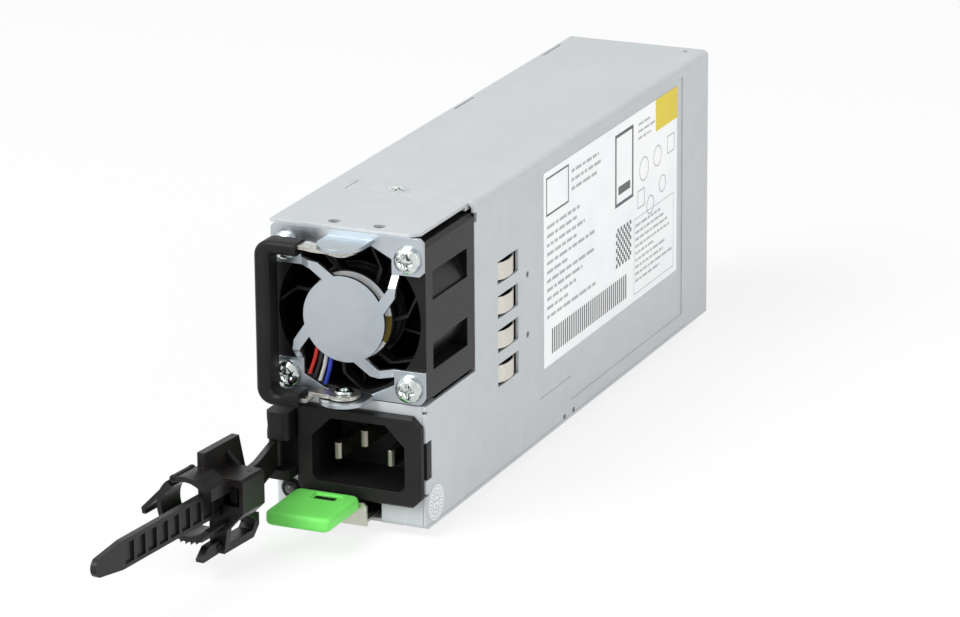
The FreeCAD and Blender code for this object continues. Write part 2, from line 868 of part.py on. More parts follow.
def top_front_plate():
    """Lid over the fan bay, with a joggled tongue that the cover screw clamps."""
    deck = Piece("top_front_plate")
    right = half_width - dims.deck_side_inset
    rear = bay_rear - dims.seam_gap * 2
    tab = bay_rear + dims.seam_tab_depth
    corner = dims.deck_corner
    deck.pad("Z", wall_top, dims.case_height,
             polygon((-half_width, 0), (right - corner, 0), (right, corner), (right, rear),
                     (-dims.seam_tab_right, rear), (-dims.seam_tab_right, tab), (-half_width, tab)))
    under = wall_top - dims.sheet - dims.fit_gap
    left = -dims.deck_tongue_left
    deck.pad("Z", under, wall_top, rectangle(left, right, rear - dims.sheet * 2, rear))
    deck.pad("Z", under, wall_top - dims.fit_gap,
             rectangle(left, right, rear - dims.sheet, rear + dims.deck_tongue))
    half = dims.deck_hole_spacing / 2
    deck.cut("Z", wall_top, dims.case_height,
             circle(dims.deck_hole_middle - half, dims.deck_hole_depth, dims.deck_hole_radius),
             circle(dims.deck_hole_middle + half, dims.deck_hole_depth, dims.deck_hole_radius))
    deck.cut("Z", under, wall_top,
             clear_hole(dims.cover_screw_side, dims.cover_screw_depth,
                        dims.cover_screw_shank + dims.pin_gap))
    deck.chamfer(dims.sheet, deck.edges("Z", x=[left, right], y=rear + dims.deck_tongue))
    return deck


def cover_screw():
    """Flush cross-head screw through the lid into the tongue under it."""
    screw = Piece("cover_screw", (dims.cover_screw_side, dims.cover_screw_depth, dims.case_height))
    screw.pad("Z", -dims.sheet, 0, circle(0, 0, dims.cover_screw_head))
    screw.pad("Z", -dims.cover_screw_length, -dims.sheet, regular(0, 0, dims.cover_screw_shank))
    screw.cut("Z", -dims.sheet * 0.8, 0,
              cross_outline(0, 0, dims.sheet, dims.cover_screw_head * 1.3))
    return screw


def rear_panel():
    """Rear wall with a honeycomb of exhaust vents and the slot for the card edge."""
    panel = Piece("rear_panel")
    side = inner_side - dims.fit_gap
    low = dims.sheet + dims.fit_gap
    high = wall_top - dims.fit_gap
    corner = dims.bend_radius / 2
    rear = dims.case_length - dims.fit_gap
    front = rear - dims.sheet
    panel.pad("Y", front, rear,
              polygon((-side, low), (side, low), (side, high - corner), (side - corner, high),
                      (-side, high)))
    panel.pad("Y", front - dims.seam_tab_depth, front, rectangle(-side, side, low, low + dims.sheet))
    gap = dims.board_gap
    panel.cut("Y", front, rear,
              rectangle(board_left - gap, board_right + gap, dims.edge_low - gap, edge_high + gap))
    for row in times(dims.vent_rows):
        left = dims.vent_left + dims.vent_pitch / 2 * (row % 2)
        height = dims.vent_low + dims.vent_pitch * cosine(30) * row
        panel.cut("Y", front, rear,
                  *[regular(left + dims.vent_pitch * column, height, dims.vent_radius, 6)
                    for column in times(dims.vent_columns)])
    return panel


def earthing_springs():
    """One strip of thin spring sheet, bowed outwards through each slot of the cover."""
    springs = Piece("emi_spring_fingers")
    back = inner_side - dims.fit_gap
    front = dims.slot_front
    thin = dims.spring_sheet
    rail_top = dims.slot_low + dims.slot_pitch * (dims.slot_count - 1) + dims.slot_height
    springs.pad("X", back - thin, back,
                rectangle(front - dims.spring_rail, front, dims.slot_low, rail_top))
    bow = dims.spring_bow + thin
    reach = dims.slot_length - dims.sheet
    crown = [(0.28, 0.82), (0.5, 1), (0.72, 0.82)]
    outside = [(back, front - dims.spring_rail / 2), (back, front + dims.sheet)]
    outside += [(back + bow * rise, front + reach * along) for along, rise in crown]
    outside += [(back, front + reach)]
    ribbon = outside + [(x - thin, y) for x, y in reversed(outside)]
    for index in times(dims.slot_count):
        low = dims.slot_low + dims.slot_pitch * index + (dims.slot_height - dims.spring_height) / 2
        springs.pad("Z", low, low + dims.spring_height, polygon(*ribbon))
    return springs


def labels():
    """Blank labels: the large side label, its coloured patch and the round seal."""
    skin = half_width - dims.panel_recess
    front = dims.panel_front + dims.label_margin_front
    rear = panel_rear - dims.label_margin_rear
    top = panel_top - dims.label_margin_top
    film = dims.label_thickness
    label = Piece("side_label")
    label.pad("X", skin, skin + film, rectangle(front, rear, dims.label_bottom, top))
    patch = Piece("caution_patch")
    patch.pad("X", skin + film, skin + film * 1.5,
              rectangle(rear - dims.caution_length, rear, top - dims.caution_height, top))
    seal = Piece("seal_sticker")
    seal.pad("X", half_width, half_width + film,
             circle(dims.seal_depth, dims.seal_height, dims.seal_radius))


def guard():
    """Sheet guard: four screw ears, pinwheel arms joggled forward to a disc, two pivot lugs."""
    plate = Piece("fan_guard", fan_axis)
    thick = dims.guard_sheet
    lift = dims.guard_lift
    disc = dims.guard_disc_radius
    for upright, side, rise in ((True, fan_side, fan_rise), (False, fan_rise, fan_side)):
        inner = side - dims.guard_arm_inset
        outer = inner + dims.guard_arm_width
        ear_edge = rise - dims.guard_ear_height
        start = ear_edge - dims.guard_ramp_lead
        end = start - dims.guard_ramp_length
        ear = [(inner, start), (outer, start), (outer, ear_edge), (side, ear_edge), (side, rise),
               (inner, rise)]
        arm = [(inner, end), (outer, end), (outer * 0.98, end - lift), polar(0, 0, disc * 0.98, 12),
               polar(0, 0, disc * 0.8, 20), polar(0, 0, disc * 0.98, 30)]
        slope = [(start + thick, 0), (start + thick, thick), (start, thick), (end, thick - lift),
                 (end - 0.4, thick - lift), (end - 0.4, -lift), (end + 0.3, -lift), (start + 0.3, 0)]
        if upright:
            features = [plate.pad("Y", 0, thick, polygon(*ear)),
                        plate.pad("X", inner, outer, polygon(*[(y, v) for v, y in slope])),
                        plate.pad("Y", -lift, thick - lift, polygon(*arm))]
        else:
            features = [plate.pad("Y", 0, thick, polygon(*[(v, -u) for u, v in ear])),
                        plate.pad("Z", -outer, -inner, polygon(*slope)),
                        plate.pad("Y", -lift, thick - lift, polygon(*[(v, -u) for u, v in arm]))]
        plate.around("Y", 2, features)
        if upright:
            plate.pad("Y", -lift, thick - lift, circle(0, 0, disc))
            frame_guard(plate, inner)
    ear_edge = fan_rise - dims.guard_ear_height
    plate.fillet(dims.guard_corner, plate.edges("Y", x=[-fan_side, fan_side], z=-fan_rise))
    plate.chamfer(dims.guard_corner / 2, plate.edges("Y", x=fan_side, z=ear_edge)
                  + plate.edges("Y", x=-fan_side, z=-ear_edge))
    plate.cut("Y", 0, thick, *[clear_hole(*at, dims.fan_screw_hole) for at in CORNERS])
    return plate


def frame_guard(plate, inner):
    """Top and bottom plates of the guard, its top flange and the two pivot lugs."""
    thick = dims.guard_sheet
    window = fan_rise - dims.guard_frame_width
    corner = fan_rise - dims.guard_window_corner
    top = wall_top - dims.fit_gap - fan_height
    half = dims.guard_window_half
    plate.pad("Y", 0, thick,
              polygon((-fan_side, top), (-fan_side, corner), (-inner, corner), (-half, window),
                      (half, window), (inner, corner), (fan_side, corner), (fan_side, top)))
    plate.pad("Y", 0, thick,
              polygon((-fan_side, -fan_rise), (-fan_side, -corner), (-inner, -corner),
                      (-half, -window), (half, -window), (inner, -corner), (fan_side, -corner),
                      (fan_side, -fan_rise)))
    plate.chamfer(dims.guard_corner / 2, plate.edges("Y", x=[-fan_side, fan_side], z=top))
    plate.pad("Y", 0, thick + dims.guard_flange_depth,
              rectangle(-dims.guard_flange_left, dims.guard_flange_right, top - thick, top))
    lug = dims.lug_radius
    side = dims.pivot_side
    ahead = -dims.pivot_forward
    blind = dims.lug_blind
    for low, face in ((lug_face, lug_face), (-lug_face - thick, blind - lug_face - thick)):
        plate.pad("Z", low, low + thick, rectangle(side - lug, side + lug, ahead, thick))
        plate.pad("Z", low, low + thick, circle(side, ahead, lug))
        plate.cut("Y", thick, lug, rectangle(side - lug, side + lug, low, low + thick))
        plate.cut("Z", face, face + thick - blind,
                  clear_hole(side, ahead, dims.pivot_radius + dims.pivot_gap, 16))


def guard_screws():
    """Four cross-head pan screws that hold the guard to the fan."""
    screws = Piece("guard_screws", fan_axis)
    head = dims.guard_screw_head
    tall = dims.guard_screw_height
    dome = [(0, 1), (0.6, 0.92), (1, 0.62)]
    for across, up in CORNERS:
        screws.loft("Y", [(tall * -rise, regular(across, up, head * width, 16))
                          for rise, width in dome])
        screws.pad("Y", 0, dims.guard_screw_length, regular(across, up, dims.guard_screw_shank, 8))
        screws.cut("Y", -tall, dims.cross_depth - tall,
                   cross_outline(across, up, dims.cross_width, dims.cross_length))
    return screws


def fan_frame():
    """Moulded fan frame: duct, flanges, side pockets, curved vanes and the bearing tube."""
    frame = Piece("fan_frame", fan_axis)
    frame.pad("Y", fan_front, fan_rear, rectangle(-fan_side, fan_side, -fan_rise, fan_rise))
    frame.chamfer(dims.guard_corner / 2, frame.edges("Y", x=[-fan_side, fan_side],
                                                     z=[-fan_rise, fan_rise]))
    wall = fan_bore + dims.fan_wall
    beyond = half_width
    duct = [polar(0, 0, wall, angle) for angle in (15, 21, 27, 33, 38.5)]
    side = [(beyond, duct[0][1])] + duct + [(beyond, duct[-1][1])]
    pockets = frame.cut("Y", fan_front + dims.fan_flange, fan_rear - dims.fan_flange,
                        polygon(*side), polygon(*[(a, -b) for a, b in side]))
    frame.around("Y", 2, [pockets])
    frame.cut("Y", fan_front, fan_rear, circle(0, 0, fan_bore),
              *[clear_hole(*at, dims.fan_screw_hole) for at in CORNERS])
    base_front = dims.motor_base_front
    base_rear = base_front + dims.motor_base_depth
    base = dims.motor_base_radius
    frame.pad("Y", base_front, base_rear, regular(0, 0, base, 40))
    reach = (fan_bore - base) / 2
    near, far = [], []
    for station in range(3):
        radius = base - 0.4 + (reach + 0.4) * station
        angle = dims.vane_sweep * station * station
        half = dims.vane_width * 30 / radius
        near.append(polar(0, 0, radius, angle - half))
        far.append(polar(0, 0, radius, angle + half))
    vane = frame.pad("Y", base_front + 0.4, base_front + dims.vane_depth,
                     polygon(*near, *reversed(far)))
    frame.around("Y", dims.vane_count, [vane])
    tube = dims.bearing_radius + dims.sheet
    frame.pad("Y", base_rear, base_rear + dims.bearing_length, regular(0, 0, tube, 16))
    frame.cut("Y", base_rear, base_rear + dims.bearing_length,
              clear_hole(0, 0, dims.bearing_radius, 16))
    return frame


def fan_motor():
    """Bearing sleeve, stator and drive board on the bearing tube."""
    base = dims.motor_base_front + dims.motor_base_depth
    sleeve = Piece("fan_bearing", fan_axis)
    sleeve.pad("Y", base, base + dims.bearing_length,
               regular(0, 0, dims.bearing_radius - dims.shaft_gap, 16),
               circle(0, 0, dims.shaft_radius + dims.shaft_gap))
    tube = clear_hole(0, 0, dims.bearing_radius + dims.sheet + dims.shaft_gap, 16)
    stator = Piece("fan_stator", fan_axis)
    front = dims.stator_front
    radius = dims.stator_radius
    stator.pad("Y", front, front + dims.stator_depth, regular(0, 0, radius, 24), tube)
    slot = stator.cut("Y", front, front + dims.stator_depth,
                      polygon((radius * 0.78, radius * 0.55), (radius * 0.52, radius * 0.42),
                              (radius * 0.42, radius * 0.52), (radius * 0.55, radius * 0.78)))
    stator.around("Y", 4, [slot])
    board = Piece("fan_drive_board", fan_axis)
    front = base + dims.rotor_gap / 2
    rear = front + dims.motor_board_depth
    board.pad("Y", front, rear, regular(0, 0, dims.motor_board_radius, 24), tube)
    board.pad("Y", rear, rear + dims.motor_board_depth,
              rectangle(4.6, 7.4, -2, 2), rectangle(-7, -4.8, 1, 3.2), rectangle(-1.5, 1.5, -8, -5.4))


def fan_leads():
    """Four leads from behind the guard disc to the lower left corner of the fan."""
    for index, name in enumerate(["lead_red", "lead_black", "lead_white", "lead_blue"]):
        lead = Piece(name, fan_axis)
        top = -dims.lead_start_drop - dims.lead_start_step * index
        low = dims.lead_end_rise - fan_rise - dims.lead_end_step * index
        start = -dims.lead_start_side + dims.lead_start_pitch * index
        end = -dims.lead_end_side + dims.lead_pitch * index
        belly = dims.lead_radius / 2
        route = [(top, start), ((top + low) / 2, (start + end) / 2 + belly), (low, end)]
        lead.loft("Z", [(up, regular(across, dims.lead_forward, dims.lead_radius, 8))
                        for up, across in route])


def fan_rotor():
    """Cup hub with swept blades trimmed to the bore, its magnet ring and its shaft."""
    rotor = Piece("fan_rotor", fan_axis)
    front = dims.hub_front
    rear = dims.hub_rear
    hub = dims.hub_radius
    rotor.pad("Y", front, rear, circle(0, 0, hub))
    half = dims.blade_thickness / 2
    middle = (dims.blade_front + dims.blade_rear) / 2
    reach = (dims.blade_rear - dims.blade_front) / 2
    stations = []
    for at, lean in ((hub * 0.72, dims.blade_root_twist), (fan_bore, dims.blade_tip_twist)):
        swing = reach * lean / 100
        stations.append((at, polygon((middle - reach, -swing - half), (middle, half * -2.4),
                                     (middle + reach, swing - half), (middle + reach, swing),
                                     (middle, half * 0.2), (middle - reach, -swing))))
    blade = rotor.loft("X", stations)
    rotor.around("Y", dims.blade_count, [blade])
    tip = fan_bore - dims.blade_tip_gap
    rotor.cut("Y", front - 1, rear + 1, circle(0, 0, tip + 5), circle(0, 0, tip))
    rotor.cut("Y", front, rear - dims.hub_wall, circle(0, 0, hub - dims.hub_wall))
    magnet = Piece("rotor_magnet", fan_axis)
    outer = hub - dims.hub_wall - dims.shaft_gap
    start = front + dims.hub_wall
    magnet.pad("Y", start, start + dims.magnet_depth, regular(0, 0, outer, 24),
               regular(0, 0, outer - dims.magnet_thickness, 24))
    shaft = Piece("rotor_shaft", fan_axis)
    base = dims.motor_base_front + dims.motor_base_depth
    gap = dims.rotor_gap / 2
    shaft.pad("Y", base + gap, rear - dims.hub_wall, circle(0, 0, dims.shaft_radius))
    shaft.pad("Y", base + dims.bearing_length + gap, rear - dims.hub_wall,
              regular(0, 0, dims.bearing_radius, 16))


def handle():
    """Moulded C grip on two sheet tangs that turn on studs in the guard lugs."""
    grip = Piece("handle_grip")
    top = fan_height + fan_rise - dims.grip_top_inset
    bottom = fan_height - fan_rise - dims.grip_heel_drop
    outer = half_width + dims.grip_overhang
    inner = outer - dims.grip_bar
    end = outer - dims.grip_reach
    top_under = top - dims.grip_arm_top
    heel_top = bottom + dims.grip_arm_bottom
    low_top = heel_top - dims.grip_heel_step
    heel = end + dims.grip_heel
    grip.pad("Y", -dims.grip_front, -dims.grip_back,
             polygon((-outer, bottom), (-end, bottom), (-end, heel_top), (-heel, heel_top),
                     (-heel - dims.grip_heel_slope, low_top), (-inner, low_top),
                     (-inner, top_under), (-end, top_under), (-end, top), (-outer, top)))
    grip.fillet(dims.grip_corner, grip.edges("Y", x=-outer))
    grip.fillet(dims.grip_inner_corner, grip.edges("Y", x=-inner))
    grip.chamfer(dims.grip_edge, grip.edges("Z", x=[-outer, -inner],
                                            y=[-dims.grip_front, -dims.grip_back]))
    tangs = Piece("handle_tangs")
    thick = dims.tang_sheet
    high = fan_height + lug_face - dims.tang_gap - thick
    low = fan_height - lug_face + dims.tang_gap
    near = end - dims.tang_joggle_far
    far = end - dims.tang_joggle_near
    tang_end = outer - dims.tang_end_inset
    front = dims.tang_setback - dims.pivot_forward - dims.tang_radius
    back = front + dims.tang_width
    gap = dims.grip_socket_gap
    pivot = (dims.pivot_side, -dims.pivot_forward)
    for base, rise in ((high, dims.tang_rise_top), (low, -dims.tang_drop_bottom)):
        tangs.pad("Y", front, back,
                  polygon((0, base), (-near, base), (-far, base + rise), (-tang_end, base + rise),
                          (-tang_end, base + rise + thick), (-far, base + rise + thick),
                          (-near, base + thick), (0, base + thick)))
        tangs.pad("Z", base, base + thick, circle(*pivot, dims.tang_radius))
        tangs.cut("Z", base, base + thick,
                  clear_hole(*pivot, dims.pivot_radius + dims.pivot_gap, 16))
        grip.cut("X", -tang_end - gap, -end,
                 rectangle(front - gap, back + gap, base + rise - gap, base + rise + thick + gap))
    studs = Piece("handle_rivets", (*pivot, fan_height))
    clear = dims.fit_gap
    under = high - fan_height - clear
    over = low - fan_height + thick + clear
    pressed = lug_face + dims.guard_sheet - dims.lug_blind
    head = dims.pivot_head_height
    studs.pad("Z", under, pressed, circle(0, 0, dims.pivot_radius))
    studs.pad("Z", under - head, under, regular(0, 0, dims.pivot_head, 20))
    studs.pad("Z", -pressed, over, circle(0, 0, dims.pivot_radius))
    studs.loft("Z", [(over, regular(0, 0, dims.pivot_head, 20)),
                     (over + head / 2, regular(0, 0, dims.pivot_head, 20)),
                     (over + head, regular(0, 0, dims.pivot_head - head / 2, 20))])
    studs.cut("Z", over + head / 3, over + head, regular(0, 0, dims.pivot_dimple, 16))


def inlet():
    """C14 mains inlet: flange, shrouded cavity, snap ear and three blades."""
    place = (dims.inlet_side, 0, dims.inlet_height)
    housing = Piece("inlet_housing", place)
    wide = dims.flange_half_width
    tall = dims.flange_half_height
    corner = dims.flange_corner
    front = -dims.flange_depth
    housing.pad("Y", front, 0,
                polygon((-wide + corner, -tall), (wide - corner, -tall), (wide, corner - tall),
                        (wide, tall - corner), (wide - corner, tall), (-wide, tall),
                        (-wide, corner - tall)))
    housing.chamfer(dims.flange_bevel, housing.edges("Z", x=[-wide, wide], y=front)
                    + housing.edges("X", y=front, z=[-tall, tall]))
    body = dims.inlet_body_half_width
    deep = dims.inlet_body_half_height
    housing.pad("Y", 0, dims.inlet_body_depth, rectangle(-body, body, -deep, deep))
    snap = dims.snap_height / 2
    snap_front = dims.sheet + dims.fit_gap
    snap_rear = dims.sheet + dims.snap_length - dims.snap_gap
    reach = half_width - dims.inlet_side - dims.fit_gap
    housing.pad("X", body - dims.snap_root, reach,
                polygon((snap_front, -snap), (snap_rear, -snap), (snap_rear, snap),
                        (snap_front, snap)))
    cavity = dims.socket_half_width
    low = dims.socket_rise - dims.socket_half_height
    high = dims.socket_rise + dims.socket_half_height
    slope = dims.socket_chamfer
    end = dims.socket_depth - dims.flange_depth
    housing.cut("Y", front, end,
                polygon((-cavity, low), (cavity, low), (cavity, high - slope),
                        (cavity - slope, high), (slope - cavity, high), (-cavity, high - slope)))
    housing.fillet(dims.socket_corner, housing.edges("Y", x=[-cavity, cavity], z=low))
    blades = Piece("inlet_blades", place)
    side = dims.pin_spacing / 2
    wide = dims.pin_width / 2
    tall = dims.pin_height / 2
    gap = dims.pin_gap
    drop = -dims.pin_drop
    spots = [(-side, drop), (side, drop), (size(0), dims.earth_rise + drop)]
    housing.cut("Y", end, dims.inlet_body_depth,
                *[rectangle(a - wide - gap, a + wide + gap, b - tall - gap, b + tall + gap)
                  for a, b in spots])
    for across, up in spots:
        blades.pad("Y", dims.pin_front, dims.pin_rear,
                   rectangle(across - wide, across + wide, up - tall, up + tall))
    blades.chamfer(dims.pin_width * 0.3, blades.edges("Z", y=dims.pin_front))


def indicator():
    """Round status indicator: bezel and lens."""
    place = (indicator_at[0], 0, indicator_at[1])
    proud = dims.bezel_proud
    hole = dims.lens_radius + dims.indicator_gap
    rim = dims.bezel_radius
    depth = dims.bezel_depth
    bezel = Piece("led_bezel", place)
    turned(bezel, (0, 0), [(-proud, hole), (-proud, rim * 0.8), (-proud * 0.5, rim), (0, rim),
                           (0, dims.bezel_barrel), (depth, dims.bezel_barrel), (depth, hole)])
    lens = Piece("led_lens", place)
    dome = dims.lens_radius
    turned(lens, (0, 0), [(-proud - dome / 3, 0), (-proud - dome / 6, dome * 0.7), (-proud, dome),
                          (depth - 1, dome), (depth - 1, 0)])


def latch():
    """Spring leaf with its hook and riser, the green thumb tab and the riveted root plate."""
    leaf = Piece("latch_spring")
    thick = dims.leaf_sheet
    low = dims.sheet + dims.leaf_lift
    high = low + thick
    root = dims.leaf_root
    left = -dims.leaf_left
    right = dims.leaf_right
    hook_left = dims.hook_middle - dims.hook_half_width
    hook_right = dims.hook_middle + dims.hook_half_width
    riser = -dims.riser_front
    shoulder = dims.leaf_shoulder
    leaf.pad("Z", low, high,
             polygon((left, riser), (right, riser), (right, shoulder), (hook_right, dims.leaf_waist),
                     (hook_right, root), (hook_left, root), (hook_left, dims.leaf_waist),
                     (left, shoulder)))
    leaf.pad("Y", riser, riser + thick, rectangle(left, right, dims.riser_bottom, dims.riser_top))
    inset = dims.tab_core_inset
    core_left = inset - dims.tab_left
    core_right = dims.tab_right - inset
    core_front = riser - dims.tab_core_length
    leaf.pad("Z", dims.riser_top - thick, dims.riser_top,
             rectangle(core_left, core_right, core_front, riser + thick))
    start = dims.hook_front
    crest = start + dims.hook_ramp
    face = crest + dims.hook_flat
    end = start + dims.hook_length
    drop = -dims.hook_drop
    leaf.pad("X", hook_left, hook_right,
             polygon((start, high), (start, drop * 0.3), (crest, drop), (face, drop), (face, low),
                     (end, low), (end, high)))
    leaf.chamfer(thick, leaf.edges("Y", x=[left, right], z=dims.riser_top))
    slot = rectangle(dims.thumb_slot_inset - dims.thumb_left,
                     dims.thumb_right - dims.thumb_slot_inset,
                     -dims.thumb_slot_front, -dims.thumb_slot_rear)
    leaf.cut("Z", dims.riser_top - thick, dims.riser_top, slot)
    tab = Piece("latch_tab")
    gap = dims.tab_core_gap
    front = -dims.tab_front
    rear = -dims.tab_rear
    tab.pad("Z", dims.tab_bottom, dims.tab_top,
            rectangle(-dims.tab_left, dims.tab_right, front, rear))
    tab.fillet(dims.tab_corner, tab.edges("Z", y=front))
    tab.chamfer(dims.tab_edge, tab.edges("X", y=front, z=[dims.tab_bottom, dims.tab_top]))
    tab.cut("Z", dims.tab_top - dims.thumb_depth, dims.tab_top,
            rectangle(-dims.thumb_left, dims.thumb_right, -dims.thumb_front, -dims.thumb_rear))
    tab.cut("Z", dims.tab_bottom, dims.tab_top, slot)
    tab.cut("Y", core_front - gap, rear,
            rectangle(core_left - gap, core_right + gap, dims.riser_top - thick - gap,
                      dims.riser_top + gap))
    tab.cut("Y", riser - gap, rear,
            rectangle(left - gap, dims.tab_right, dims.tab_bottom, dims.riser_top + gap))
    plate = Piece("latch_root_plate")
    start = root + dims.leaf_root_gap
    end = start + dims.leaf_plate_length
    plate.pad("Z", dims.sheet, high, rectangle(hook_left, hook_right, start, end))
    plate.chamfer(thick, plate.edges("Z", y=end))
    plate.cut("Z", dims.sheet, high,
              *[clear_hole(side, depth, dims.rivet_shank + dims.pin_gap) for side, depth in RIVETS])
    rivets = Piece("latch_rivets")
    for side, depth in RIVETS:
        rivets.pad("Z", -dims.fit_gap, high, regular(side, depth, dims.rivet_shank))
        rivets.pad("Z", high, high + dims.rivet_head_height,
                   regular(side, depth, dims.rivet_head, 16))


def strap_anchor():
    """Moulded bracket on the front wall with the pin that the ladder strap turns on."""
    anchor = Piece("strap_anchor")
    left = -dims.anchor_left
    right = -dims.anchor_right
    low = dims.strap_height - dims.strap_width / 2 - dims.strap_gap
    high = dims.strap_height + dims.strap_width / 2 + dims.strap_gap
    front = -dims.anchor_front
    plate = -dims.anchor_plate
    anchor.pad("Y", plate, 0, rectangle(left, right, dims.anchor_bottom, dims.anchor_top))
    anchor.pad("Z", high, dims.anchor_top, rectangle(left, right, front, plate))
    anchor.pad("Z", dims.anchor_bottom, low, rectangle(left, right, front, plate))
    anchor.fillet(dims.anchor_corner, anchor.edges("Z", x=[left, right], y=front))
    waist = dims.anchor_waist_radius
    anchor.cut("Y", front, plate,
               circle(left + dims.anchor_waist - waist, (high + dims.anchor_top) / 2, waist))
    pin_at = (-dims.strap_pin_side, -dims.strap_pin_forward)
    top = high + dims.strap_pin_stop
    anchor.cut("Z", dims.anchor_bottom, top,
               clear_hole(*pin_at, dims.strap_pin_radius + dims.pin_gap))
    pin = Piece("strap_pin", (*pin_at, 0))
    pin.pad("Z", dims.anchor_bottom, top, circle(0, 0, dims.strap_pin_radius))


# The strap is drawn in its own frame: origin on its pin, straight part along -Y.
strap_turn = dims.strap_root_angle + dims.strap_tip_angle
strap_place = (-dims.strap_pin_side, -dims.strap_pin_forward, dims.strap_height)
bend_across = dims.strap_root_length * sine(strap_turn) - dims.strap_bend_radius * cosine(strap_turn)
bend_along = -dims.strap_root_length * cosine(strap_turn) - dims.strap_bend_radius * sine(strap_turn)
strap_line = bend_across + dims.strap_bend_radius
strap_tip = bend_along - dims.strap_front_length


def in_strap_frame(across, along):
    """Case coordinates of a point given in the frame of the strap."""
    turn = -dims.strap_tip_angle
    return (strap_place[0] + across * cosine(turn) - along * sine(turn),
            strap_place[1] + across * sine(turn) + along * cosine(turn),
            dims.strap_height)


def cable_strap():
    """Ladder strap: eye, gentle bend, straight run with pockets, rounded tip."""
    strap = Piece("cable_strap", strap_place, -dims.strap_tip_angle)
    thick = dims.strap_thickness / 2
    half = dims.strap_width / 2
    outer = arc(bend_across, bend_along, dims.strap_bend_radius + thick, strap_turn, 0, 6)
    inner = arc(bend_across, bend_along, dims.strap_bend_radius - thick, 0, strap_turn, 6)
    root = dims.strap_eye_radius * 0.6
    side = (cosine(strap_turn) * thick, sine(strap_turn) * thick)
    ahead = (sine(strap_turn) * root, -cosine(strap_turn) * root)
    strap.pad("Z", -half, half,
              polygon((ahead[0] + side[0], ahead[1] + side[1]), *outer,
                      (strap_line + thick, strap_tip), (strap_line - thick, strap_tip), *inner,
                      (ahead[0] - side[0], ahead[1] - side[1])))
    strap.pad("Z", -half, half, circle(0, 0, dims.strap_eye_radius))
    strap.cut("Z", -half, half, circle(0, 0, dims.strap_pin_radius + dims.pin_gap))
    shoulder = strap_tip + dims.strap_tip_length
    nose = dims.strap_tip_radius
    for sign in (1, -1):
        bow = [polar(strap_tip + nose, 0, nose, angle * sign) for angle in (115, 135, 155, 180)]
        strap.cut("X", strap_line - thick, strap_line + thick,
                  polygon((shoulder, half * sign), *bow, (strap_tip, half * sign)))
    pockets = []
    reach = dims.rung_pocket_width / 2
    for index in times(dims.rung_count):
        near = shoulder + dims.rung_first + dims.rung_pitch * index
        pockets.append(rectangle(near, near + dims.rung_pocket_length, -reach, reach))
    strap.cut("X", strap_line + thick - dims.rung_pocket_depth, strap_line + thick, *pockets)
    return strap


# The clip is drawn in its own frame: origin on the middle of the strap, head from y = 0 backwards.
clip_place = in_strap_frame(strap_line, bend_along - dims.clip_front)
ring_at = (-dims.ring_side, -dims.ring_drop)
ring_outer = dims.ring_inner + dims.ring_wall
hinge_at = polar(*ring_at, dims.ring_inner + dims.ring_wall * 0.75, dims.ring_hinge_angle)
pawl_at = (dims.pawl_pivot_side, dims.pawl_pivot_depth)


def clip_piece(name):
    return Piece(name, clip_place, -dims.strap_tip_angle)


def half_ring(piece, front, rear, start, end):
    """Part of the clamp ring: a whole ring with the rest of its turn cut away."""
    piece.pad("Y", front, rear, circle(*ring_at, ring_outer), circle(*ring_at, dims.ring_inner))
    piece.cut("Y", front, rear,
              polygon(ring_at, *arc(*ring_at, ring_outer * 1.5, end, start + 360, 8)))


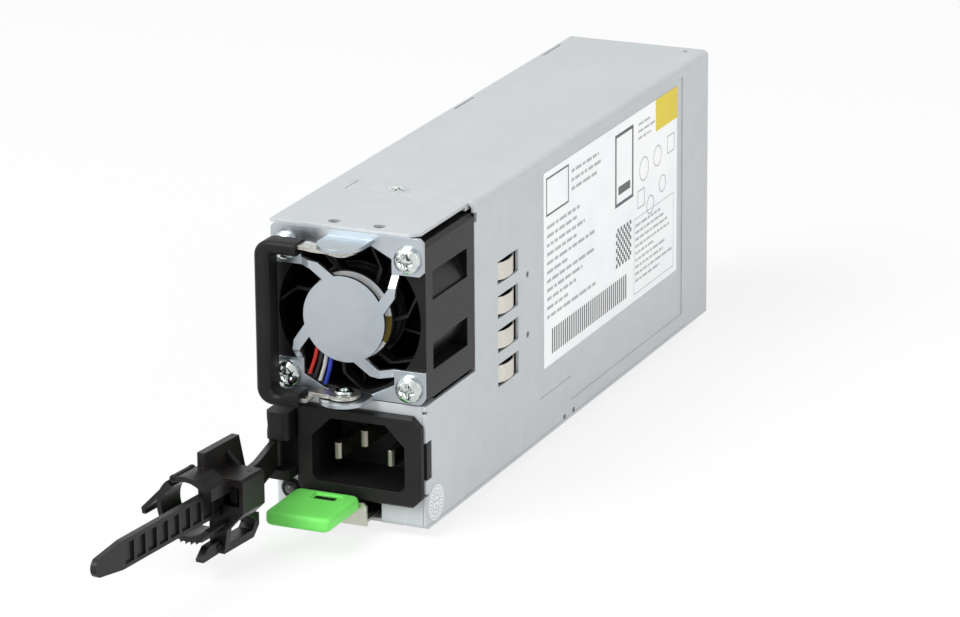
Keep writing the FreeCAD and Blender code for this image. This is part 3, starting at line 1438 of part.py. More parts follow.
def clip_head():
    """Clip body: strap channel, pawl window, finger loop, thumb plate and the fixed half ring."""
    head = clip_piece("clip_head")
    left = -dims.clip_left
    right = dims.clip_right
    toe = dims.clip_toe
    top = dims.clip_top
    low = -dims.clip_bottom
    loop_low = -dims.loop_bottom
    deep = dims.clip_depth
    front = -dims.ring_width
    stop = dims.ring_fixed_end - dims.ring_ear_angle
    half_ring(head, front, 0, dims.ring_fixed_start, stop)
    head.pad("Y", 0, deep,
             polygon((left, top), (right, top), (right, -dims.clip_shoulder), (toe, low), (left, low)))
    head.chamfer(dims.clip_edge, head.edges("Y", x=right, z=top))
    head.pad("Y", front, 0,
             polygon(polar(*ring_at, dims.ring_inner, 50), polar(*ring_at, dims.ring_inner, 26),
                     (right - 3.2, 2.6), (right - 3.2, top)))
    head.cut("Y", front, 0, circle(*ring_at, dims.ring_inner))
    head.pad("Y", 0, dims.loop_wall,
             polygon((left, low), (toe, low), (toe * 0.52, low - 2.3), (toe * 0.36, loop_low + 1.3),
                     (toe * 0.1, loop_low), (left + 1, loop_low), (left, loop_low + 1.5)))
    long = dims.loop_length
    wall = dims.loop_wall
    head.pad("X", left, dims.loop_right,
             polygon((0, low), (0, loop_low), (long - 2.5, loop_low), (long, loop_low + 2.5),
                     (long, low - 2.8), (deep, low)))
    web = low - dims.loop_web
    head.cut("X", left, dims.loop_right,
             polygon((wall, web), (wall, loop_low + wall), (long - wall - 1, loop_low + wall),
                     (long - wall, loop_low + wall + 1), (long - wall, web - 2.8), (deep - 0.8, web)))
    plate = left - dims.thumb_plate
    plate_front = -dims.thumb_plate_front
    foot = dims.thumb_plate_foot
    head.pad("X", plate, left,
             polygon((plate_front, foot), (dims.thumb_plate_heel, foot),
                     (dims.thumb_plate_rear, dims.thumb_plate_top),
                     (plate_front, dims.thumb_plate_top)))
    rib = dims.thumb_rib
    head.pad("Y", deep - dims.thumb_rib_width, deep,
             polygon((left, top), (left + rib, top), (left, top + rib)))
    ear = dims.ring_ear
    bridge = [polar(*ring_at, ring_outer, stop - 4), polar(*ring_at, ring_outer, dims.ring_fixed_end),
              polar(*ring_at, dims.ring_inner, dims.ring_fixed_end),
              polar(*ring_at, dims.ring_inner, stop - 4)]
    for near in (front, -ear):
        head.pad("Y", near, near + ear, polygon(*bridge))
        head.pad("Y", near, near + ear, regular(*hinge_at, ear, 16))
    channel = dims.clip_channel
    tall = dims.strap_width / 2 + dims.strap_gap
    head.cut("Y", 0, deep, rectangle(-channel, channel, -tall, tall))
    window_low = -dims.clip_window_bottom
    head.cut("Y", 0, dims.clip_window_depth,
             rectangle(channel, dims.clip_window_right, window_low, dims.clip_window_top))
    pin_hole = dims.clip_pin_radius + dims.pin_gap
    head.cut("Y", front, 0, clear_hole(*hinge_at, pin_hole))
    head.cut("Z", window_low - dims.loop_web, top, clear_hole(*pawl_at, pin_hole))
    return head


def clip_moving_parts():
    """Hinged half ring with its finger flap, the strap pawl and the release trigger."""
    gap = dims.strap_gap
    ear = dims.ring_ear
    front = -dims.ring_width
    barrel = ear - dims.pin_gap
    pin_radius = dims.clip_pin_radius
    start = dims.ring_moving_start
    jaw = clip_piece("clamp_jaw")
    half_ring(jaw, front, -gap, start + 12, dims.ring_moving_end)
    link = arc(*ring_at, ring_outer, start + 1, start + 14, 3)
    link += arc(*ring_at, dims.ring_inner, start + 14, start + 1, 3)
    jaw.pad("Y", front + ear + gap, -ear - gap, polygon(*link))
    jaw.pad("Y", front + ear + gap, -ear - gap, circle(*hinge_at, barrel))
    root = polar(*ring_at, ring_outer - 0.3, dims.flap_start)
    far = (root[0] - dims.flap_length * 0.72, root[1] - dims.flap_length * 0.72)
    wall = dims.flap_wall
    jaw.pad("Y", front, -gap,
            polygon(root, far, (far[0] + 0.3, far[1] - 1.5), (far[0] + 1.3, far[1] - 1.5),
                    (far[0] + 1.1, far[1] - 0.3), (root[0] + wall * 0.9, root[1] - wall * 0.9)))
    teeth = []
    for index in times(dims.saw_count):
        angle = dims.saw_start + dims.saw_step * index
        teeth.append(polygon(polar(*ring_at, ring_outer - 0.3, angle),
                             polar(*ring_at, ring_outer + dims.saw_height, angle),
                             polar(*ring_at, ring_outer - 0.3, angle + dims.saw_step * 0.85)))
    jaw.pad("Y", front, -gap, *teeth)
    jaw.cut("Y", front, 0, circle(*hinge_at, pin_radius + dims.pin_gap))
    pin = clip_piece("jaw_pin")
    pin.pad("Y", front, 0, circle(*hinge_at, pin_radius))
    pawl = clip_piece("strap_pawl")
    low = gap - dims.clip_window_bottom
    high = low + dims.pawl_thickness
    tip = dims.pawl_tip
    side, depth = pawl_at
    pawl.pad("Z", low, high,
             polygon((side - 0.6, depth + 0.5), (tip, depth - 2.3), (tip, depth - 3.1),
                     (tip + 1.2, depth - 3.5), (tip + 1.5, depth - 5.5), (side - 0.1, depth - 5.5),
                     (side + 0.2, depth - 3.2), (side + 0.8, depth - 0.3)))
    pawl.pad("Z", low, high, circle(*pawl_at, barrel))
    pawl.cut("Z", low, high, circle(*pawl_at, pin_radius + dims.pin_gap))
    pawl_pin = clip_piece("pawl_pin")
    pawl_pin.pad("Z", -dims.clip_window_bottom - dims.loop_web, dims.clip_top,
                 circle(*pawl_at, pin_radius))
    trigger = clip_piece("jaw_trigger")
    heel = -dims.trigger_drop
    knuckle = dims.trigger_knuckle
    reach = -dims.trigger_reach
    left = -dims.trigger_left
    trigger.pad("X", left, left + dims.trigger_width,
                polygon((-gap, heel + 1.5), (-gap, heel - 0.5), (-gap - 0.8, heel - 1.7),
                        (reach + 0.3, heel - 1.9), (reach, heel - 1.1), (reach + 2.7, heel + 1.3)))
    trigger.pad("X", left - 0.4, left + dims.trigger_width + 0.4,
                circle(-gap - knuckle, heel, knuckle))


def internals():
    """Main board with its card edge, and the large parts on it."""
    board = Piece("main_board")
    front = dims.board_front
    low = dims.board_low
    edge = dims.case_length + dims.edge_reach
    bevel = dims.edge_bevel
    board.pad("X", board_left, board_right,
              polygon((front, low), (board_rear, low), (board_rear, dims.edge_low),
                      (edge - bevel, dims.edge_low), (edge, dims.edge_low + bevel),
                      (edge, edge_high - bevel), (edge - bevel, edge_high),
                      (board_rear, edge_high), (board_rear, board_high), (front, board_high)))
    hole = dims.board_screw + dims.pin_gap
    board.cut("X", board_left, board_right, *[clear_hole(*at, hole) for at in POSTS])
    posts = Piece("board_posts")
    screws = Piece("board_screws")
    for at in POSTS:
        posts.pad("X", -inner_side, board_left, regular(*at, dims.post_radius, 6),
                  clear_hole(*at, hole))
        screws.pad("X", dims.fit_gap - inner_side, board_right, regular(*at, dims.board_screw, 8))
        screws.pad("X", board_right, board_right + dims.board_screw,
                   regular(*at, dims.board_screw * 1.9))
    contacts = Piece("edge_contacts")
    for index in times(dims.contact_count):
        near = dims.edge_low + dims.contact_margin + dims.contact_pitch * index
        contacts.pad("X", board_right, board_right + dims.contact_sheet,
                     rectangle(edge - bevel - dims.contact_length, edge - bevel,
                               near, near + dims.contact_pitch * 0.7))
    power_parts()
    heat_sinks()


def power_parts():
    """Bulk capacitors, transformer and choke, seated on the board."""
    bulk = Piece("bulk_capacitors")
    for column in range(2):
        for row in range(2):
            bulk.pad("X", board_right, board_right + dims.capacitor_length,
                     regular(dims.capacitor_front + dims.capacitor_pitch * column,
                             dims.capacitor_low + dims.capacitor_rise * row,
                             dims.capacitor_radius, 20))
    core = Piece("transformer_core")
    front = dims.core_front
    rear = front + dims.core_length
    low = dims.core_low
    high = low + dims.core_height
    leg = dims.core_leg
    window = dims.core_window
    yoke = dims.core_yoke
    top = board_right + dims.core_depth
    core.pad("X", board_right, top, rectangle(front, rear, low, high))
    spans = [(front + leg, front + leg + window), (rear - leg - window, rear - leg)]
    core.cut("X", board_right, top, *[rectangle(a, b, low + yoke, high - yoke) for a, b in spans])
    winding = Piece("transformer_winding")
    gap = dims.winding_gap
    winding.pad("X", board_right + leg, top - leg,
                *[rectangle(a + gap, b - gap, low + yoke + gap, high - yoke - gap)
                  for a, b in spans])
    choke = Piece("choke_core")
    at = (dims.choke_depth, board_high - dims.choke_drop)
    choke.pad("X", board_right, board_right + dims.choke_radius,
              regular(*at, dims.choke_radius, 24), regular(*at, dims.choke_radius / 2, 24))


def heat_sinks():
    """Finned extrusions under the board parts: base bar with upright fins."""
    top = board_right + dims.sink_reach
    low = dims.sink_low
    base = low + dims.sink_base
    high = base + dims.sink_fin
    rear = board_rear - dims.sink_rear_gap
    pitch = (rear - dims.rectifier_sink_front) / 6
    spans = [("heat_sink", dims.sink_front, dims.sink_length, 4, dims.sink_length / 4),
             ("rectifier_heat_sink", dims.rectifier_sink_front, pitch * 6, 6, pitch)]
    for name, front, length, count, step in spans:
        fins = []
        for index in range(count):
            near = front + dims.sink_margin + step * index
            fins += [(near, base), (near, high), (near + dims.sink_blade, high),
                     (near + dims.sink_blade, base)]
        Piece(name).pad("X", board_right, top,
                        polygon((front, base), *fins, (front + length, base),
                                (front + length, low), (front, low)))


for make in (chassis_tray, case_cover, top_front_plate, cover_screw, rear_panel, earthing_springs,
             labels, guard, guard_screws, fan_frame, fan_motor, fan_leads, fan_rotor, handle, inlet,
             indicator, latch, strap_anchor, cable_strap, clip_head, clip_moving_parts, internals):
    make()
doc.recompute()

for item in doc.Objects:
    if any(word in ("Invalid", "Error") for word in item.State):
        raise RuntimeError(f"{item.Name} is {item.State}")
for piece in PIECES:
    if not piece.Shape.isValid() or piece.Shape.Volume <= 0:
        raise RuntimeError(f"{piece.Label} has no valid shape")

os.makedirs("parts", exist_ok=True)
for piece in PIECES:
    piece.Shape.exportStep(f"parts/{piece.Label}.step")
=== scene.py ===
"""Dresses the hot swap server power supply: finishes, small pieces, floor, light and camera."""
import logging
import math
import random
from dataclasses import dataclass
from enum import Enum
from typing import Any, Optional

import bmesh
import bpy
from mathutils import Matrix, Vector


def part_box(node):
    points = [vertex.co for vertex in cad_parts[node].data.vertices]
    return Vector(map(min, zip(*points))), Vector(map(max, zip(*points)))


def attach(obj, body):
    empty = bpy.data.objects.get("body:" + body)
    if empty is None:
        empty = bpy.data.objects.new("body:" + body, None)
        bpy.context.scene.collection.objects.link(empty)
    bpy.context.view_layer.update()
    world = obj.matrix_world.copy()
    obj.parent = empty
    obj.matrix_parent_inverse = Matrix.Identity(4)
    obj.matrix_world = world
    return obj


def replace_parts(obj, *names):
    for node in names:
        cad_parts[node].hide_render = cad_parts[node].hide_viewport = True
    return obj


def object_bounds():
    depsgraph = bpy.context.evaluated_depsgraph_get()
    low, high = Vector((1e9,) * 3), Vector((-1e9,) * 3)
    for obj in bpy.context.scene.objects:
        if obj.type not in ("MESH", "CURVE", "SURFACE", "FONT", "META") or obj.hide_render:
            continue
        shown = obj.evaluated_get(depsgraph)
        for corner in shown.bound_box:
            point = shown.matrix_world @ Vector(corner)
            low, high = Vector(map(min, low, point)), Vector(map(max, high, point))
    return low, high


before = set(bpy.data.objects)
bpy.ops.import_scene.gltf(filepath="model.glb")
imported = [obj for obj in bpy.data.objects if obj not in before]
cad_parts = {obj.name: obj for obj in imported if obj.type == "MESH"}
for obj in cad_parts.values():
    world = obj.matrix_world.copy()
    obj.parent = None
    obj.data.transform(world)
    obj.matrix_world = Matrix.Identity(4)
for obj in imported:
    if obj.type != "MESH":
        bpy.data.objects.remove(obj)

LOG = logging.getLogger("power_supply")
MM = 0.001
CAD_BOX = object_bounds()
NOISE_RANGE = (0.3, 0.7)
COPY_MERGE = 1e-6
PIECE_MERGE = 1e-7
LEVEL = 1e-6


def linear(code: str) -> tuple[float, float, float, float]:
    """Turn an sRGB hex value into a linear colour.

    Args:
        code: six hex digits, with or without a leading hash.

    Returns:
        Red, green, blue and alpha, linear.
    """
    digits = code.lstrip("#")
    parts = [int(digits[i:i + 2], 16) / 255 for i in (0, 2, 4)]
    values = [p / 12.92 if p <= 0.04045 else ((p + 0.055) / 1.055) ** 2.4 for p in parts]
    return values[0], values[1], values[2], 1.0


class Shading:
    """The node tree of one material, with its shader and its object coordinates."""

    def __init__(self, name: str) -> None:
        """Start an empty material with a principled shader."""
        self.material = bpy.data.materials.new(name)
        self.material.use_nodes = True
        self.tree = self.material.node_tree
        self.shader = self.tree.nodes["Principled BSDF"]
        self.place = self.add("ShaderNodeTexCoord").outputs["Object"]

    def add(self, kind: str, links: Optional[dict[Any, Any]] = None,
            **settings: Any) -> bpy.types.Node:
        """Add a node, set its properties, and set or link its inputs.

        Args:
            kind: the node's type name.
            links: input name or number to a socket or a plain value.
            settings: properties of the node.

        Returns:
            The new node.
        """
        node = self.tree.nodes.new(kind)
        for key, value in settings.items():
            setattr(node, key, value)
        for key, value in (links or {}).items():
            if isinstance(value, bpy.types.NodeSocket):
                self.tree.links.new(value, node.inputs[key])
            else:
                node.inputs[key].default_value = value
        return node

    def set(self, **values: Any) -> None:
        """Set or link inputs of the shader.

        Args:
            values: input name, with underscores for spaces, to a socket or a plain value.
        """
        for key, value in values.items():
            socket = self.shader.inputs[key.replace("_", " ")]
            if isinstance(value, bpy.types.NodeSocket):
                self.tree.links.new(value, socket)
            else:
                socket.default_value = value

    def noise(self, size_mm: float, stretch: tuple[float, float, float] = (1, 1, 1),
              detail: float = 3.0) -> bpy.types.NodeSocket:
        """Noise whose features are about a size, stretched along the axes.

        Args:
            size_mm: the width of one feature.
            stretch: how much longer a feature is along X, Y and Z.
            detail: octaves of finer noise.

        Returns:
            The value, from 0 to 1.
        """
        scale = tuple(1 / (size_mm * MM * s) for s in stretch)
        placed = self.add("ShaderNodeMapping", {"Vector": self.place, "Scale": scale})
        made = self.add("ShaderNodeTexNoise", {"Vector": placed.outputs[0], "Scale": 1.0,
                                               "Detail": detail})
        return made.outputs[0]

    def cells(self, size_mm: float, distance: str) -> bpy.types.Node:
        """Cells of about a size, such as zinc crystals.

        Args:
            size_mm: the width of one cell.
            distance: how the distance to the middle of a cell is measured.

        Returns:
            The node, with a colour for each cell and the distance to its middle.
        """
        links = {"Vector": self.place, "Scale": 1 / (size_mm * MM)}
        return self.add("ShaderNodeTexVoronoi", links, distance=distance)

    def remap(self, value: bpy.types.NodeSocket, low: float, high: float, start: float,
              end: float) -> bpy.types.NodeSocket:
        """Map a value from one range to another, held at its ends.

        Args:
            value: the value.
            low: the lower end of its range.
            high: the upper end of its range.
            start: what the lower end becomes.
            end: what the upper end becomes.

        Returns:
            The mapped value.
        """
        node = self.add("ShaderNodeMapRange", {0: value, 1: low, 2: high, 3: start, 4: end})
        return node.outputs[0]

    def spread(self, value: bpy.types.NodeSocket, start: float = 0.0,
               end: float = 1.0) -> bpy.types.NodeSocket:
        """Map noise to a range, from the values that noise mostly takes."""
        return self.remap(value, *NOISE_RANGE, start, end)

    def sheen(self, value: bpy.types.NodeSocket, rough: float, below: float = 0.05,
              above: float = 0.08) -> bpy.types.NodeSocket:
        """Roughness that noise takes a little below and above its usual value."""
        return self.spread(value, rough - below, rough + above)

    def blend(self, mask: bpy.types.NodeSocket, low: Any, high: Any) -> bpy.types.NodeSocket:
        """Mix two colours by a mask.

        Args:
            mask: 0 for the first colour, 1 for the second.
            low: the first colour, a socket or a plain value.
            high: the second colour, a socket or a plain value.

        Returns:
            The mixed colour.
        """
        node = self.add("ShaderNodeMix", {"Factor": mask, 6: low, 7: high}, data_type="RGBA")
        return node.outputs[2]

    def math(self, how: str, first: Any, second: Any) -> bpy.types.NodeSocket:
        """One arithmetic step on two values."""
        return self.add("ShaderNodeMath", {0: first, 1: second}, operation=how).outputs[0]

    def mix_values(self, first: bpy.types.NodeSocket, share: float,
                   second: bpy.types.NodeSocket, other_share: float) -> bpy.types.NodeSocket:
        """Add shares of two values."""
        return self.math("ADD", self.math("MULTIPLY", first, share),
                         self.math("MULTIPLY", second, other_share))

    def relief(self, height: bpy.types.NodeSocket, depth_mm: float,
               round_mm: float = 0.0) -> None:
        """Bump the surface by a height map, over edges softened to a radius.

        Args:
            height: the height, from 0 to 1.
            depth_mm: how deep the relief is.
            round_mm: the radius that edges look rounded to, or 0 to leave them.
        """
        bump = self.add("ShaderNodeBump", {"Height": height, "Strength": 1.0,
                                           "Distance": depth_mm * MM})
        if round_mm:
            edge = self.add("ShaderNodeBevel", {"Radius": round_mm * MM}, samples=4)
            self.tree.links.new(edge.outputs[0], bump.inputs["Normal"])
        self.set(Normal=bump.outputs[0])


@dataclass(frozen=True)
class Finish:
    """A finish: its name and the code that shades it."""

    name: str

    def make(self) -> bpy.types.Material:
        """Build the material."""
        shading = Shading(self.name)
        self.shade(shading)
        return shading.material

    def shade(self, s: Shading) -> None:
        """Lay out the nodes of the finish."""
        raise NotImplementedError


@dataclass(frozen=True)
class GalvanisedSteel(Finish):
    """Hot dip galvanised sheet: soft grey, faint zinc crystals, fine lines along the case."""

    colour: str = "#CBCED0"
    shade_colour: str = "#B5BABD"
    line_colour: str = "#A4AAAE"
    crystal_mm: float = 4.5
    metallic: float = 0.28
    rough: float = 0.42
    drift_mm: float = 26
    line_mm: float = 0.35
    along: tuple[float, float, float] = (1, 60, 1)
    crystal_share: float = 0.30
    drift_share: float = 0.55
    line_tone: float = 0.93
    grain_depth_mm: float = 0.012
    edge_mm: float = 0.18

    def shade(self, s: Shading) -> None:
        """Crystals tilt the sheen a little, so neighbouring patches differ in grey."""
        crystals = s.cells(self.crystal_mm, "CHEBYCHEV")
        patch = s.add("ShaderNodeSeparateColor", {0: crystals.outputs["Color"]}).outputs[0]
        drift = s.noise(self.drift_mm, (1, 3, 1))
        lines = s.noise(self.line_mm, self.along, 2)
        tone = s.mix_values(patch, self.crystal_share, drift, self.drift_share)
        base = s.blend(tone, linear(self.shade_colour), linear(self.colour))
        shaded = s.blend(s.spread(lines, self.line_tone), linear(self.line_colour), base)
        s.set(Base_Color=shaded, Metallic=self.metallic, Specular_IOR_Level=0.4,
              Roughness=s.remap(patch, 0, 1, self.rough - 0.06, self.rough + 0.07))
        s.relief(s.mix_values(lines, 0.5, patch, 0.5), self.grain_depth_mm, self.edge_mm)


@dataclass(frozen=True)
class PlatedSteel(Finish):
    """Zinc plated pressings and screws: bluish, bright, with faint handling marks."""

    colour: str = "#AEB6BC"
    rough: float = 0.26
    mark_mm: float = 1.6
    edge_mm: float = 0.15
    cloud: str = "#C4C9CC"
    cloud_stretch: float = 5
    mark_depth_mm: float = 0.01

    def shade(self, s: Shading) -> None:
        """Cloudy plating over fine stamping grain."""
        cloud = s.noise(self.mark_mm * self.cloud_stretch)
        marks = s.noise(self.mark_mm, detail=5)
        base = s.blend(s.spread(cloud), linear(self.colour), linear(self.cloud))
        s.set(Base_Color=base, Metallic=1.0, Roughness=s.sheen(marks, self.rough))
        s.relief(marks, self.mark_depth_mm, self.edge_mm)


@dataclass(frozen=True)
class RolledSpringSteel(Finish):
    """Bare rolled strip: warm grey with fine lines along its length."""

    colour: str = "#B9B6AC"
    rough: float = 0.33
    along: tuple[float, float, float] = (1, 40, 1)
    line_colour: str = "#D9D6CD"
    line_mm: float = 0.3
    line_depth_mm: float = 0.008
    edge_mm: float = 0.12

    def shade(self, s: Shading) -> None:
        """Rolling lines stretched along the strip."""
        lines = s.noise(self.line_mm, self.along, 3)
        base = s.blend(s.spread(lines), linear(self.colour), linear(self.line_colour))
        s.set(Base_Color=base, Metallic=1.0, Roughness=s.sheen(lines, self.rough, 0, 0.14))
        s.relief(lines, self.line_depth_mm, self.edge_mm)


@dataclass(frozen=True)
class MouldedPlastic(Finish):
    """Injection moulding: fine spark-eroded grain, soft sheen, slightly paler cloudy flow marks.
    """

    colour: str = "#161413"
    pale: str = "#201E1C"
    grain_mm: float = 0.35
    grain_depth_mm: float = 0.02
    rough: float = 0.48
    gloss: float = 0.22
    edge_mm: float = 0.25
    flow_mm: float = 9

    def shade(self, s: Shading) -> None:
        """Grain in the relief, cloudy flow marks in the colour and the gloss."""
        grain = s.noise(self.grain_mm, detail=2)
        flow = s.noise(self.flow_mm, detail=2)
        base = s.blend(s.remap(flow, 0.35, 0.7, 0, 0.6), linear(self.colour), linear(self.pale))
        s.set(Base_Color=base, Roughness=s.sheen(grain, self.rough),
              Specular_IOR_Level=self.gloss)
        s.relief(grain, self.grain_depth_mm, self.edge_mm)


@dataclass(frozen=True)
class LabelFilm(Finish):
    """Satin polyester film or a layer of print on it, slightly cloudy, with a soft sheen."""

    colour: str = "#ECEDEE"
    cloud: str = "#E1E3E4"
    fibre_mm: float = 1.2
    cloud_mm: float = 14
    rough: float = 0.34
    fibre_depth_mm: float = 0.004
    edge_mm: float = 0.05

    def shade(self, s: Shading) -> None:
        """Faint fibre of the backing under the film."""
        fibre = s.noise(self.fibre_mm, detail=2)
        drift = s.noise(self.cloud_mm, detail=2)
        base = s.blend(s.remap(drift, 0.35, 0.65, 0, 1), linear(self.colour), linear(self.cloud))
        s.set(Base_Color=base, Roughness=s.sheen(fibre, self.rough, 0, 0.1),
              Specular_IOR_Level=0.4)
        s.relief(fibre, self.fibre_depth_mm, self.edge_mm)


@dataclass(frozen=True)
class Lamination(Finish):
    """Ferrite or stacked core plates: dark, dull, with the plates' edges showing as lines."""

    colour: str = "#3A3836"
    plate_mm: float = 0.5
    edge_colour: str = "#555250"
    plate_depth_mm: float = 0.03
    edge_mm: float = 0.1

    def shade(self, s: Shading) -> None:
        """Plate edges along the stack."""
        plates = s.noise(self.plate_mm, (30, 1, 30), 1)
        base = s.blend(s.remap(plates, 0.4, 0.6, 0, 1), linear(self.colour),
                       linear(self.edge_colour))
        s.set(Base_Color=base, Metallic=0.5, Roughness=0.55)
        s.relief(plates, self.plate_depth_mm, self.edge_mm)


@dataclass(frozen=True)
class CircuitBoard(Finish):
    """Green solder resist over copper tracks, with a fine glass weave."""

    colour: str = "#1D5A34"
    track_colour: str = "#2B7446"
    track_mm: float = 5
    weave_mm: float = 0.4
    weave_depth_mm: float = 0.01
    edge_mm: float = 0.05

    def shade(self, s: Shading) -> None:
        """Tracks show as slightly paler paths."""
        tracks = s.cells(self.track_mm, "MANHATTAN")
        edge = s.remap(tracks.outputs["Distance"], 0.25, 0.3, 0, 1)
        weave = s.noise(self.weave_mm, detail=2)
        base = s.blend(edge, linear(self.colour), linear(self.track_colour))
        s.set(Base_Color=base, Roughness=0.32, Metallic=0.0)
        s.relief(weave, self.weave_depth_mm, self.edge_mm)


@dataclass(frozen=True)
class WoundCopper(Finish):
    """Enamelled wire wound in close turns."""

    colour: str = "#B5652C"
    wire_mm: float = 0.6
    groove_shade_colour: str = "#6E3715"
    turn_depth_mm: float = 0.15

    def shade(self, s: Shading) -> None:
        """Round turns across the winding, with painted shade darkening the grooves between turns.
        """
        part = s.add("ShaderNodeSeparateXYZ", {0: s.place})
        turn = s.math("PINGPONG", part.outputs[0], self.wire_mm * MM / 2)
        height = s.math("MULTIPLY", turn, 2 / (self.wire_mm * MM))
        # painted shade: the colour darkens towards the groove between neighbouring turns
        base = s.blend(height, linear(self.groove_shade_colour), linear(self.colour))
        s.set(Base_Color=base, Metallic=0.7, Roughness=0.3)
        s.relief(height, self.turn_depth_mm)


@dataclass(frozen=True)
class Lens(Finish):
    """Moulded light guide, smoky and glossy, unlit."""

    colour: str = "#242725"
    milk_colour: str = "#4A4E4B"
    milk_mm: float = 0.8
    milk_depth_mm: float = 0.005

    def shade(self, s: Shading) -> None:
        """A smoky body under a clear skin."""
        milk = s.noise(self.milk_mm)
        base = s.blend(milk, linear(self.colour), linear(self.milk_colour))
        s.set(Base_Color=base, Roughness=0.12, Coat_Weight=0.4)
        s.relief(milk, self.milk_depth_mm)


class Coat(Enum):
    """Every finish on the power supply."""

    CASE = GalvanisedSteel("galvanised_sheet")
    GUARD = PlatedSteel("zinc_plated_guard", "#ABB3B9", 0.34, 2.4, 0.15, "#B4BBC0")
    SCREW = PlatedSteel("bright_zinc_screw", "#B4BCBA", 0.14, 0.8, 0.1, "#DDE3E2")
    DARK_PIN = PlatedSteel("blackened_pin", "#1C1B1A", 0.4, 0.5, 0.1, "#2A2827")
    LEAF = RolledSpringSteel("rolled_spring_strip", "#BEBBB0")
    TANG = RolledSpringSteel("nickel_tang", "#868480", 0.28, (40, 1, 1))
    FINGER = RolledSpringSteel("tinned_copper_finger", "#CDCAC1", 0.35, (1, 20, 1))
    BLADE = PlatedSteel("tinned_blade", "#908C81", 0.3, 3.0, 0.3, "#A8A499")
    CONTACT = PlatedSteel("gold_contact", "#D9AE55", 0.22, 0.8, 0.05, "#E6C273")
    BRASS = PlatedSteel("sintered_bronze", "#A97F45", 0.4, 0.5, 0.05, "#B98F55")
    LABEL = LabelFilm("label_film", "#F8F8F8", "#F1F2F3")
    INK = LabelFilm("grey_print", "#B4B6B7", "#A6A8AA")
    DARK_INK = LabelFilm("dark_print", "#4A4C4E", "#55585A")
    SEAL = LabelFilm("seal_film", "#E8E9EA", "#DEE0E1")
    PATCH = LabelFilm("yellow_film", "#DFC816", "#D7BE0E")
    OLIVE = LabelFilm("olive_film", "#77682A", "#6B5D22")
    FAN = MouldedPlastic("fan_moulding", "#100E0E", "#191615", 0.3, 0.012, 0.36, 0.22)
    ROTOR = MouldedPlastic("rotor_moulding", "#0D0C0C", "#141312", 0.3, 0.01, 0.34, 0.3)
    GRIP = MouldedPlastic("grip_moulding", "#110F10", "#1A1718", 0.5, 0.02, 0.46, 0.2)
    INLET = MouldedPlastic("inlet_moulding", "#151314", "#1D1B1B", 0.4, 0.02, 0.46, 0.25)
    STRAP = MouldedPlastic("nylon_strap", "#131110", "#1C1A18", 0.6, 0.02, 0.34, 0.26, 0.2)
    TAB = MouldedPlastic("green_tab_moulding", "#70DA5F", "#7CE46B", 0.45, 0.015, 0.42, 0.3, 0.3)
    CORE = Lamination("laminated_core")
    BOARD = CircuitBoard("board")
    WINDING = WoundCopper("copper_winding")
    SINK = PlatedSteel("extruded_aluminium", "#B9BBBD", 0.38, 1.2, 0.1, "#CDCFD0")
    SLEEVE = MouldedPlastic("shrink_sleeve", "#1B2547", "#222F58", 0.6, 0.01, 0.28, 0.5)
    RED = MouldedPlastic("red_insulation", "#B5201B", "#C42E26", 0.5, 0.01, 0.35, 0.5)
    BLUE = MouldedPlastic("blue_insulation", "#2339A6", "#2C47B8", 0.5, 0.01, 0.35, 0.5)
    BLACK = MouldedPlastic("black_insulation", "#1B1B1E", "#242428", 0.5, 0.01, 0.35, 0.4)
    WHITE = MouldedPlastic("white_insulation", "#B9B8B4", "#C7C6C2", 0.5, 0.01, 0.35, 0.5)
    LENS = Lens("light_guide")


WEARS: dict[Coat, tuple[str, ...]] = {
    Coat.CASE: ("chassis_tray", "case_cover", "top_front_plate", "rear_panel"),
    Coat.GUARD: ("fan_guard", "board_posts", "board_screws"),
    Coat.SCREW: ("guard_screws", "cover_screw", "handle_rivets", "latch_rivets", "rotor_shaft"),
    Coat.DARK_PIN: ("strap_pin", "jaw_pin", "pawl_pin"),
    Coat.LEAF: ("latch_spring", "latch_root_plate"),
    Coat.TANG: ("handle_tangs",),
    Coat.FINGER: ("emi_spring_fingers",),
    Coat.BLADE: ("inlet_blades",),
    Coat.CONTACT: ("edge_contacts",),
    Coat.BRASS: ("fan_bearing",),
    Coat.LABEL: ("side_label",),
    Coat.SEAL: ("seal_sticker",),
    Coat.PATCH: ("caution_patch",),
    Coat.FAN: ("fan_frame",),
    Coat.ROTOR: ("fan_rotor",),
    Coat.GRIP: ("handle_grip", "strap_anchor"),
    Coat.INLET: ("inlet_housing", "led_bezel"),
    Coat.STRAP: ("cable_strap", "clip_head", "clamp_jaw", "strap_pawl", "jaw_trigger"),
    Coat.TAB: ("latch_tab",),
    Coat.CORE: ("fan_stator", "rotor_magnet", "transformer_core", "choke_core"),
    Coat.BOARD: ("main_board", "fan_drive_board"),
    Coat.WINDING: ("transformer_winding",),
    Coat.SINK: ("heat_sink", "rectifier_heat_sink"),
    Coat.SLEEVE: ("bulk_capacitors",),
    Coat.RED: ("lead_red",),
    Coat.BLUE: ("lead_blue",),
    Coat.BLACK: ("lead_black",),
    Coat.WHITE: ("lead_white",),
    Coat.LENS: ("led_lens",),
}


class Wardrobe:
    """Makes each finish once and puts it on the pieces that wear it."""

    def __init__(self) -> None:
        """Start with no finish made."""
        self.made: dict[Coat, bpy.types.Material] = {}

    def material(self, coat: Coat) -> bpy.types.Material:
        """The material of a finish, made at its first use."""
        if coat not in self.made:
            self.made[coat] = coat.value.make()
        return self.made[coat]

    def dress_nodes(self) -> None:
        """Put each finish on the CAD nodes that wear it."""
        for coat, names in WEARS.items():
            for name in names:
                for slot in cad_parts[name].material_slots:
                    slot.material = self.material(coat)
                LOG.info("%s wears %s", name, coat.value.name)


def centre(node: str) -> Vector:
    """The middle of a CAD node's box."""
    low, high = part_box(node)
    return (Vector(low) + Vector(high)) / 2


